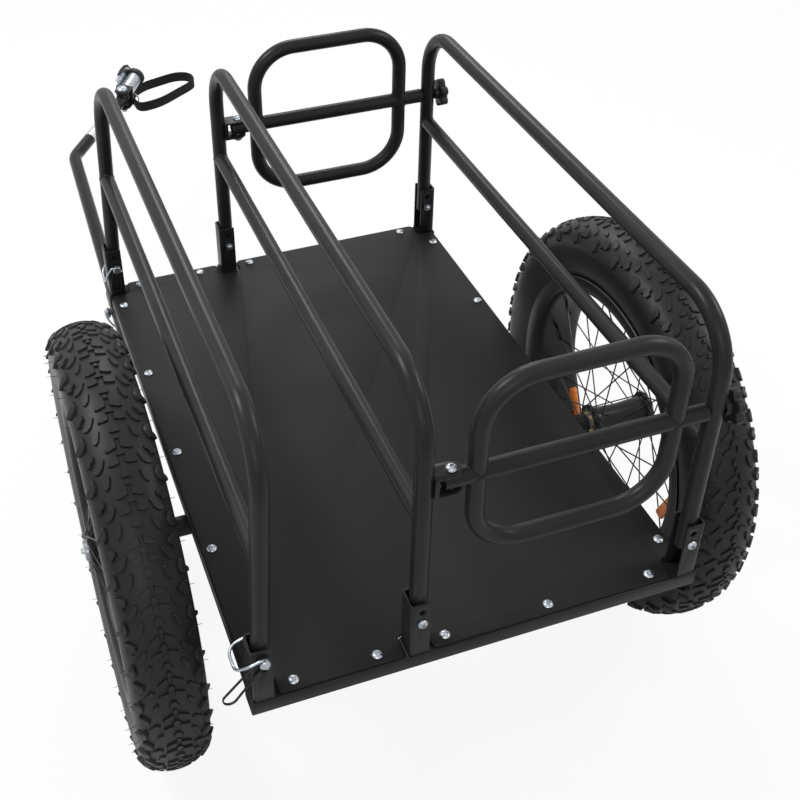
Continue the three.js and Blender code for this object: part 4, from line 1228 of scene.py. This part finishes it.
# One pitch of the tread as outlines of (across, along): blocks that the far side mirrors
SIDE_BLOCKS = [
    [(36, -8), (39.5, -9), (41.5, -1), (50, 4), (53, 8), (51, 10.5), (39, 10), (35.5, 6), (34, 0)],
    [(29, 21), (35, 17.5), (42.5, 17), (43, 21), (39, 23.5), (42, 28), (40.5, 32.5), (34, 33),
     (32.5, 29), (29, 26)],
    [(16, -6), (19, -8), (23.5, -1), (26, 8.5), (23, 10.5), (19, 6)],
    [(18, 29.5), (22, 27), (27, 33), (33, 41), (33, 44), (28, 44.5), (22, 40)],
    [(2, 11), (6, 13), (15, 19.5), (15.5, 22.5), (11, 23), (2, 19.5)],
    [(3, 31), (8, 33), (15, 36), (16, 40), (9, 40.5), (3, 38.5)],
]
MIDDLE_BLOCKS = [
    [(-2.5, -9), (2.5, -9), (6, -1.5), (5, 0.5), (-5, 0.5), (-6, -1.5)],
    [(-1.2, 3), (1.2, 3), (3, 9), (-3, 9)],
    [(-1.6, 22.5), (1.6, 22.5), (5, 29), (-5, 29)],
]


def casing_at(across):
    """Place and outward direction on the casing, by distance along its section from the crown."""
    points = [Vector(p) for p in reversed(CASING)]
    side = 1 if across >= 0 else -1
    left = abs(across)
    for a, b in zip(points, points[1:]):
        run = (b - a).length
        if left <= run or b is points[-1]:
            spot = a.lerp(b, left / run)
            heading = (b - a).normalized()
            return side * spot.x, spot.y, side * -heading.y, heading.x
        left -= run


class TRAILER_OT_tyres(bpy.types.Operator):
    """Tyres with their tread blocks"""

    bl_idname = "trailer.tyres"
    bl_label = "Tyres"

    def execute(self, context):
        sizes = context.scene.trailer_sizes
        section = [(-x, r) for x, r in CASING] + list(reversed(CASING))[1:]
        casing = spun(section + LINING, 144)
        tyre = smooth(joined(casing, self.tread(sizes.tread_depth / MM, sizes.tread_pitches)), 40)
        for hand, sign in (("left", -1), ("right", 1)):
            twin = copied(tyre, shift(sign * WHEEL_X, AXLE_Y, AXLE_Z))
            finished(twin, f"tyre_{hand}_knobby", f"wheel_{hand}", "rubber", f"tyre_{hand}")
        discard(tyre)
        return {"FINISHED"}

    def angle(self, along):
        return TREAD_PHASE + along / TREAD_PITCH * 2 * math.pi / self.pitches

    def block(self, outline, depth):
        """One block, drawn flat with sloping sides, then laid round the casing."""
        obj = ring_of([(across, along, -BLOCK_SINK) for across, along in outline])
        centre = sum((Vector((*spot, 0)) for spot in outline), Vector()) / len(outline) * MM
        edit(obj)
        bpy.ops.mesh.edge_face_add()
        for rise, share in ((depth + 0.3, 0.94), (0.5, 0.93)):
            bpy.ops.mesh.extrude_region_move(TRANSFORM_OT_translate={"value": (0, 0, rise * MM)})
            bpy.ops.transform.resize(value=(share, share, 1), center_override=centre)
        close_up()
        for vertex in obj.data.vertices:
            across, along, height = vertex.co / MM
            x, r, nx, nr = casing_at(across)
            angle = self.angle(along)
            x, r = x + nx * height, r + nr * height
            vertex.co = around(x, r, angle) * MM
        edit(obj)
        return close_up()

    def vents(self):
        """Two of the thin rubber hairs that moulding leaves on the shoulders."""
        hairs = []
        for side, along, length in ((-1, 12, 6.5), (1, 30, 5.5)):
            x, r, nx, nr = casing_at(side * VENT_REACH)
            angle = self.angle(along)
            out, foot = around(nx, nr, angle), around(x, r, angle)
            hairs.append(rod(foot - out, foot + out * length, VENT_RADIUS, 5, 0.5))
        return hairs

    def tread(self, depth, pitches):
        self.pitches = pitches
        far = [[(-across, along) for across, along in reversed(spots)] for spots in SIDE_BLOCKS]
        blocks = []
        for outline in SIDE_BLOCKS + far + MIDDLE_BLOCKS:
            shoulder = max(abs(across) for across, _ in outline) > SHOULDER
            blocks.append(self.block(outline, depth if shoulder else depth * CENTRE_SHARE))
        return repeated(joined(*blocks, *self.vents()), pitches)


def around(x, radius, angle):
    """A point at an angle round the wheel's axis."""
    return Vector((x, radius * math.cos(angle), radius * math.sin(angle)))


def repeated(model, count):
    """Copies of a model all round the wheel's axis, in its place."""
    copies = [copied(model, turn(2 * math.pi * k / count, "X")) for k in range(count)]
    discard(model)
    return joined(*copies)


SPOKES = 36
SPOKE_RADIUS = 1.0
SPOKE_HEAD = 1.9
NIPPLE_RADIUS = 1.9
NIPPLE_LENGTH = 13
FLANGE_X = 43
FLANGE_CIRCLE = 21.5
RIM_HOLE_X = 6
RIM_SEAT = 190
SPOKE_GROUP = 4
SPOKE_CROSSING = math.radians(60)
REFLECTOR_SPINS = (math.radians(114), math.radians(234))
REFLECTOR_PLACE = {"x": 6.5, "z": 150}
REFLECTOR_DEPTH = 7

# Turned profiles of the wheel as (distance along the axle, radius)
RIM_OUTSIDE = [
    (40, 212.2), (40.2, 205), (39.6, 197), (37, 192.6), (33, 189.6), (20, 189), (0, 189),
]
RIM_INSIDE = [
    (0, 191.6), (22, 191.6), (29, 192.6), (33.2, 199), (36.4, 205), (37, 211.6), (38.4, 213.2),
]
HUB = [
    (0, 16.5), (5, 16.5), (16, 17.2), (30, 18), (38, 18.3), (41, 20.5), (41, 24), (41.5, 24.5),
    (44.5, 24.5), (45, 24), (45, 19.2), (46, 18.5), (46.5, 18), (46.5, 15.6), (38, 15.6),
    (38, 9.2), (0, 9.2),
]
BEARING = [(0.4, 8.6), (0.4, 10.9), (0.9, 11.1), (0.9, 13.3), (0.2, 13.5), (0, 15.4)]
BEARING_WIDTH = 8
AXLE_SHANK = [
    (-134, 0), (-134, 6.6), (-132.6, 8), (-51.7, 8), (-51.7, 11.2), (-51.3, 11.5),
    (-47.4, 11.5), (-47, 11.2), (-47, 8),
]
AXLE_FACE = 47
AXLE_HEAD = [
    (0, 8), (0, 13), (0.6, 13.5), (5, 13.5), (6, 12.4), (6, 5.6), (5, 4.2), (-0.2, 4.2), (-0.2, 0),
]
BALL_PLACE = (-126, 6.6)
BALL_RADIUS = 2.6
BUTTON_FACE = 57
BUTTON = [(5.9, 0), (5.9, 3.7), (0.8, 3.7), (0, 2.9), (0.3, 1.6), (0.3, 0)]
VALVE = [
    (150, 0), (150, 2.4), (158, 2.4), (158.6, 3.2), (166, 3.2), (167, 2.6), (190, 2.6), (190, 0),
]

# Model, name, body, finish, node that it replaces, place along the axle
WHEEL_PIECES = [
    ("rim", "rim_rolled", "wheel", "alloy", "rim", 0),
    ("hub", "hub_turned", "wheel", "alloy", "hub", 0),
    ("spokes", "spokes_laced", "wheel", "spoke", None, 0),
    ("valve", "valve_stem", "wheel", "steel", None, 0),
    ("reflector", "spoke_reflectors", "wheel", "reflector", None, 0),
    ("bearing", "bearing_inner_ring", "wheel", "brass", "bearing_inner", -46),
    ("bearing", "bearing_outer_ring", "wheel", "brass", "bearing_outer", 38),
    ("axle", "axle_turned", "trailer", "zinc", "axle", 0),
    ("button", "axle_button_turned", "button", "steel", "axle_button", 0),
]


class TRAILER_OT_wheels(bpy.types.Operator):
    """Rims, hubs, spokes, bearings and axles"""

    bl_idname = "trailer.wheels"
    bl_label = "Wheels"

    def execute(self, context):
        models = {
            "rim": self.rim(),
            "hub": spun(HUB + [(-x, r) for x, r in reversed(HUB[1:-1])], 64),
            "spokes": self.spokes(),
            "axle": self.axle(),
            "button": spun(stepped(BUTTON_FACE, *BUTTON, way=-1), 32),
            "bearing": self.bearing(),
            "reflector": self.reflector(),
            "valve": spun(VALVE, 20, Z),
        }
        for hand in ("left", "right"):
            for model, name, body, finish, node, along in WHEEL_PIECES:
                twin = copied(models[model], wheel_place(hand) @ shift(x=along))
                rides = body if body == "trailer" else f"{body}_{hand}"
                dressed(twin, f"{name}_{hand}", rides, finish, node and f"{node}_{hand}")
        discard(*models.values())
        return {"FINISHED"}

    def rim(self):
        outside = [(-x, r) for x, r in RIM_OUTSIDE[:-1]] + list(reversed(RIM_OUTSIDE))
        inside = list(reversed(RIM_INSIDE)) + [(-x, r) for x, r in RIM_INSIDE[1:]]
        return spun(outside + inside, 128)

    def spokes(self):
        parts = []
        for k in range(SPOKE_GROUP):
            flange = 1 if k % 2 == 0 else -1
            lace = X * (1 if (k // 2) % 2 == 0 else -1)
            rim_angle = 2 * math.pi * k / SPOKES
            hub_angle = rim_angle + lace.x * SPOKE_CROSSING
            hole = around(flange * FLANGE_X, FLANGE_CIRCLE, hub_angle)
            end = around(flange * RIM_HOLE_X, RIM_SEAT, rim_angle)
            elbow, head = hole + lace * 3.4, hole - lace * 3.2
            run = (end - elbow).normalized()
            parts.append(tube(rounded([head, elbow, end], 2.2, 4), SPOKE_RADIUS, sides=2))
            parts.append(rod(head - lace * 0.9, head + lace * 0.5, SPOKE_HEAD, 12))
            parts.append(rod(end - run * NIPPLE_LENGTH, end, NIPPLE_RADIUS, 10))
        return repeated(joined(*parts), SPOKES // SPOKE_GROUP)

    def bearing(self):
        mirrored = [(BEARING_WIDTH - x, r) for x, r in BEARING[:5]]
        return spun(BEARING + [(BEARING_WIDTH, 15.4)] + list(reversed(mirrored)), 48)

    def axle(self):
        body = spun(AXLE_SHANK + stepped(AXLE_FACE, *AXLE_HEAD), 48)
        balls = []
        x, z = BALL_PLACE
        for side in (-z, z):
            deselect()
            bpy.ops.mesh.primitive_uv_sphere_add(
                segments=20, ring_count=12, radius=BALL_RADIUS * MM
            )
            balls.append(moved(bpy.context.object, shift(x=x, z=side)))
        return joined(body, *balls)

    def reflector(self):
        outline = fillet([(-33, -8), (33, -8), (30, 8), (-30, 8)], 5, 5)
        parts = []
        for spin in REFLECTOR_SPINS:
            lens = bevelled(plate(outline, REFLECTOR_DEPTH), 1.4, 3, 40)
            moved(lens, turn(math.pi / 2, "Z") @ turn(math.pi / 2, "X"))
            moved(lens, shift(**REFLECTOR_PLACE))
            parts.append(moved(lens, turn(spin, "X")))
        return joined(*parts)


# Tow bar and hitch

FOIL_START = 74
FOIL_THICKNESS = 0.25
TOW_INSERT = 170
TOW_WALL = 2


class TRAILER_OT_tow_bar(bpy.types.Operator):
    """Tow bar with its eye barrel and foil band"""

    bl_idname = "trailer.tow_bar"
    bl_label = "Tow bar"

    def execute(self, context):
        way = -TOW_HEADING
        route = rounded([(0, -TOW_INSERT, 0), TOW_CORNER, TOW_EYE + way * 9], TOW_BEND, 14)
        bar = tube(route, TOW_RADIUS, wall=TOW_WALL, sides=11)
        half = [(15, BOLT_HOLE), (15, 12.6), (14.4, TOW_EYE_RADIUS)]
        barrel = spun([(-x, r) for x, r in half] + list(reversed(half)), 40, Z)
        moved(barrel, Matrix.Translation(TOW_EYE * MM))
        side = Z.cross(TOW_HEADING)
        weld = saddle(TOW_EYE, way, side, TOW_RADIUS, TOW_EYE_RADIUS, -0.4, 28)
        obj = moved(joined(bar, barrel, tube(weld, 1.7, cyclic=True, sides=2)), tow_place())
        dressed(obj, "tow_bar_bent", "trailer", "gloss", "tow_bar")
        start = TOW_CORNER + TOW_HEADING * FOIL_START
        stations = [start + TOW_HEADING * k for k in (0, 20, 40, 60, 74)]
        band = tube(stations, TOW_RADIUS + FOIL_THICKNESS, wall=FOIL_THICKNESS, sides=11)
        moved(band, tow_place())
        dressed(band, "tow_bar_foil_band", "trailer", "foil")
        return {"FINISHED"}


def hitch_place():
    return tow_place() @ Matrix.Translation(TOW_EYE * MM) @ turn(-TOW_TURN, "Z")


STRAP_LINE = [
    (4.5, 40), (12, 29), (23, 15), (36, 9), (51.6, 19.1), (71.4, 44.8), (91.5, 91.9),
    (103.2, 121.7), (106.7, 142.5), (94.6, 160.1), (76.7, 166), (53.7, 156.3), (27, 126.1),
    (10.1, 103.8), (0.8, 79.4), (-1, 59),
]
STRAP_WIDTH = 21
STRAP_THICKNESS = 2.4
STRAP_HEIGHT = -20
STRAP_RING = (4.5, 40)
STRAP_RING_RADIUS = 13
CHEEK = [
    (-4, 16), (8, 4), (30, 0), (74, 4), (84, 12), (86, 27), (77, 37), (61, 43), (44, 43),
    (28, 39), (11, 31),
]
CHEEK_PLACE = -19
STRAP_RING_WIRE = 1.3
STRAP_STEPS = 200
STRAP_ROWS = 6
FORK_INNER = 15.6
FORK_OUTER = 19.6
FORK_EAR = 15
PIN_FACE = 19.9


class TRAILER_OT_hitch(bpy.types.Operator):
    """Coupler, hitch pin, ring and safety strap"""

    bl_idname = "trailer.hitch"
    bl_label = "Hitch"

    def execute(self, context):
        along_cup = shift(0, 22, 8.5) @ turn(math.radians(6.5), "X") @ turn(math.pi / 2, "Z")
        cup = [(-2.2, 0), (-2.2, 15.5), (49, 15.5), (49, 12.4), (2.6, 12.4), (2.6, 0)]
        rim = [(46.6, 12.3), (46.6, 19), (47.4, 20), (56.2, 20), (57, 19), (57, 12.3)]
        cup, rim = (moved(spun(profile, 48), along_cup) for profile in (cup, rim))
        jobs = [
            (self.fork(), "hitch_fork", "coupler", "powder", "hitch_coupler"),
            (cup, "hitch_cup", "coupler", "zinc"),
            (rim, "hitch_cup_rim", "coupler", "plastic"),
            (self.cheek(), "hitch_cheek", "coupler", "zinc"),
            (self.cheek_trim(), "hitch_cheek_trim", "coupler", "plastic"),
            (self.pin(), "hitch_pin_turned", "trailer", "zinc", "hitch_pin"),
            (self.ring(), "strap_ring_wire", "coupler", "zinc", "strap_ring"),
            (self.strap(), "safety_strap_webbing", "coupler", "webbing", "safety_strap"),
        ]
        for obj, *labels in jobs:
            dressed(moved(obj, hitch_place()), *labels)
        return {"FINISHED"}

    def fork(self):
        """Two ears on a back plate, with the tab that carries the strap's ring."""
        angles = [math.pi * (1 + k / 14) for k in range(15)]
        ear = [(FORK_EAR * math.cos(a), FORK_EAR * math.sin(a)) for a in angles]
        body = plate([(FORK_EAR, 22), (-FORK_EAR, 22), *ear], 2 * FORK_OUTER)
        slot = box(60, 80, 2 * FORK_INNER, shift(y=-23))
        holes = [slot, rod((0, 0, -30), (0, 0, 30), BOLT_HOLE, 24)]
        body = bevelled(drilled(moved(body, shift(z=-FORK_OUTER)), *holes), 0.6, 2, 40)
        corners = [(-13, 20), (-3, 20), (-3, 47), (-13, 47)]
        tab = moved(plate(fillet(corners, [0, 0, 4, 4], 4), 4), shift(z=-FORK_OUTER))
        hole = rod((-8.1, 40, -30), (-8.1, 40, 0), 2.5, 20)
        return joined(body, bevelled(drilled(tab, hole), 0.5, 2, 40))

    def cheek(self):
        obj = bevelled(plate(fillet(CHEEK, 2.5, 3), 5.0), 0.9, 3, 30)
        upright = Matrix(((0, 0, 1, 0), (1, 0, 0, 0), (0, 1, 0, 0), (0, 0, 0, 1)))
        return moved(obj, shift(x=CHEEK_PLACE) @ upright)

    def cheek_trim(self):
        """Rubber edge along the cheek's top and front."""
        spots = [(CHEEK_PLACE + 2.5, along, height) for along, height in CHEEK[3:10]]
        return tube(rounded(spots, 3, 3), 3.2, sides=4)

    def pin(self):
        """Domed head above the fork, plain shank, and a knob below it."""
        dome = [(0, 0), (0, 10.4), (0.6, 11), (4, 11), (6.6, 9), (8, 5), (8, 0)]
        tip = PIN_FACE + 10
        shank = [(PIN_FACE + 3, 0), (PIN_FACE + 3, 4), (1 - tip, 4), (-tip, 3), (-tip, 0)]
        knob = [(5, 0), (5, 5.4), (5.6, 6), (9, 6), (10, 4.6), (10, 0)]
        return joined(
            spun(stepped(PIN_FACE, *dome), 48, Z),
            spun(shank, 28, Z),
            spun(stepped(-PIN_FACE, *knob, way=-1), 32, Z),
        )

    def ring(self):
        x, y = STRAP_RING
        spots = [
            (x + across, y, STRAP_HEIGHT + up)
            for across, up in arc(STRAP_RING_RADIUS, 0, FULL_TURN, 40)[:-1]
        ]
        return tube(spots, STRAP_RING_WIRE, cyclic=True, sides=4)

    def strap(self):
        """A closed loop of webbing on edge, with a weave that follows it."""
        count = STRAP_STEPS
        low = STRAP_HEIGHT - STRAP_WIDTH / 2
        spots = smooth_loop(STRAP_LINE, count)
        band = ring_of([(x, y, low) for x, y in spots])
        edit(band)
        rise = {"value": (0, 0, STRAP_WIDTH / STRAP_ROWS * MM)}
        for _ in range(STRAP_ROWS):
            bpy.ops.mesh.extrude_edges_move(TRANSFORM_OT_translate=rise)
        bpy.ops.object.mode_set(mode="OBJECT")
        mesh = band.data
        weave = mesh.uv_layers.new(name="weave")
        places = []
        for vertex in mesh.vertices:
            flat = vertex.co.to_2d() / MM
            places.append(min(range(count), key=lambda k: (spots[k] - flat).length_squared) / count)
        for face in mesh.polygons:
            corners = [mesh.loops[k].vertex_index for k in face.loop_indices]
            wraps = max(places[i] for i in corners) > 0.9
            for k, i in zip(face.loop_indices, corners):
                share = 1.0 if wraps and places[i] == 0 else places[i]
                weave.data[k].uv = (share, (mesh.vertices[i].co.z / MM - low) / STRAP_WIDTH)
        edit(band)
        bpy.ops.mesh.normals_make_consistent(inside=False)
        bpy.ops.object.mode_set(mode="OBJECT")
        modified(band, "SOLIDIFY", thickness=STRAP_THICKNESS * MM, offset=0)
        return bevelled(band, 0.6, 2, 50)


def smooth_loop(points, count):
    """Even spots along a closed smooth line through the points."""
    dense = []
    total = len(points)
    for i in range(total):
        a, b, c, d = (Vector(points[(i + k - 1) % total]) for k in range(4))
        for step in range(24):
            t = step / 24
            square = (2 * a - 5 * b + 4 * c - d) * t * t
            dense.append(0.5 * (2 * b + (c - a) * t + square + (3 * b - a - 3 * c + d) * t**3))
    lengths = [0.0]
    for a, b in zip(dense, dense[1:] + dense[:1]):
        lengths.append(lengths[-1] + (b - a).length)
    spots = []
    place = 0
    for k in range(count):
        goal = lengths[-1] * k / count
        while lengths[place + 1] < goal:
            place += 1
        a, b = dense[place], dense[(place + 1) % len(dense)]
        spots.append(a.lerp(b, (goal - lengths[place]) / (lengths[place + 1] - lengths[place])))
    return spots


OPERATORS = (
    TRAILER_OT_stage,
    TRAILER_OT_frame,
    TRAILER_OT_deck,
    TRAILER_OT_feet,
    TRAILER_OT_rails,
    TRAILER_OT_gates,
    TRAILER_OT_pins,
    TRAILER_OT_tyres,
    TRAILER_OT_wheels,
    TRAILER_OT_tow_bar,
    TRAILER_OT_hitch,
)


class TRAILER_PT_panel(bpy.types.Panel):
    """Lists the trailer's groups of pieces"""

    bl_idname = "TRAILER_PT_panel"
    bl_label = "Cargo bike trailer"
    bl_space_type = "VIEW_3D"
    bl_region_type = "UI"
    bl_category = "Trailer"

    def draw(self, context):
        layout = self.layout
        for group in (context.scene.trailer_sizes, context.scene.trailer_colours):
            for name in group.__annotations__:
                layout.prop(group, name)
        for operator in OPERATORS:
            layout.operator(operator.bl_idname)


def register():
    for one in (TrailerSizes, TrailerColours, *OPERATORS, TRAILER_PT_panel):
        bpy.utils.register_class(one)
    bpy.types.Scene.trailer_sizes = bpy.props.PointerProperty(type=TrailerSizes)
    bpy.types.Scene.trailer_colours = bpy.props.PointerProperty(type=TrailerColours)


def unregister():
    del bpy.types.Scene.trailer_colours
    del bpy.types.Scene.trailer_sizes
    for one in reversed((TrailerSizes, TrailerColours, *OPERATORS, TRAILER_PT_panel)):
        bpy.utils.unregister_class(one)


def main():
    register()
    for operator in OPERATORS:
        group, name = operator.bl_idname.split(".")
        getattr(getattr(bpy.ops, group), name)()
    deselect()


if __name__ == "__main__":
    main()
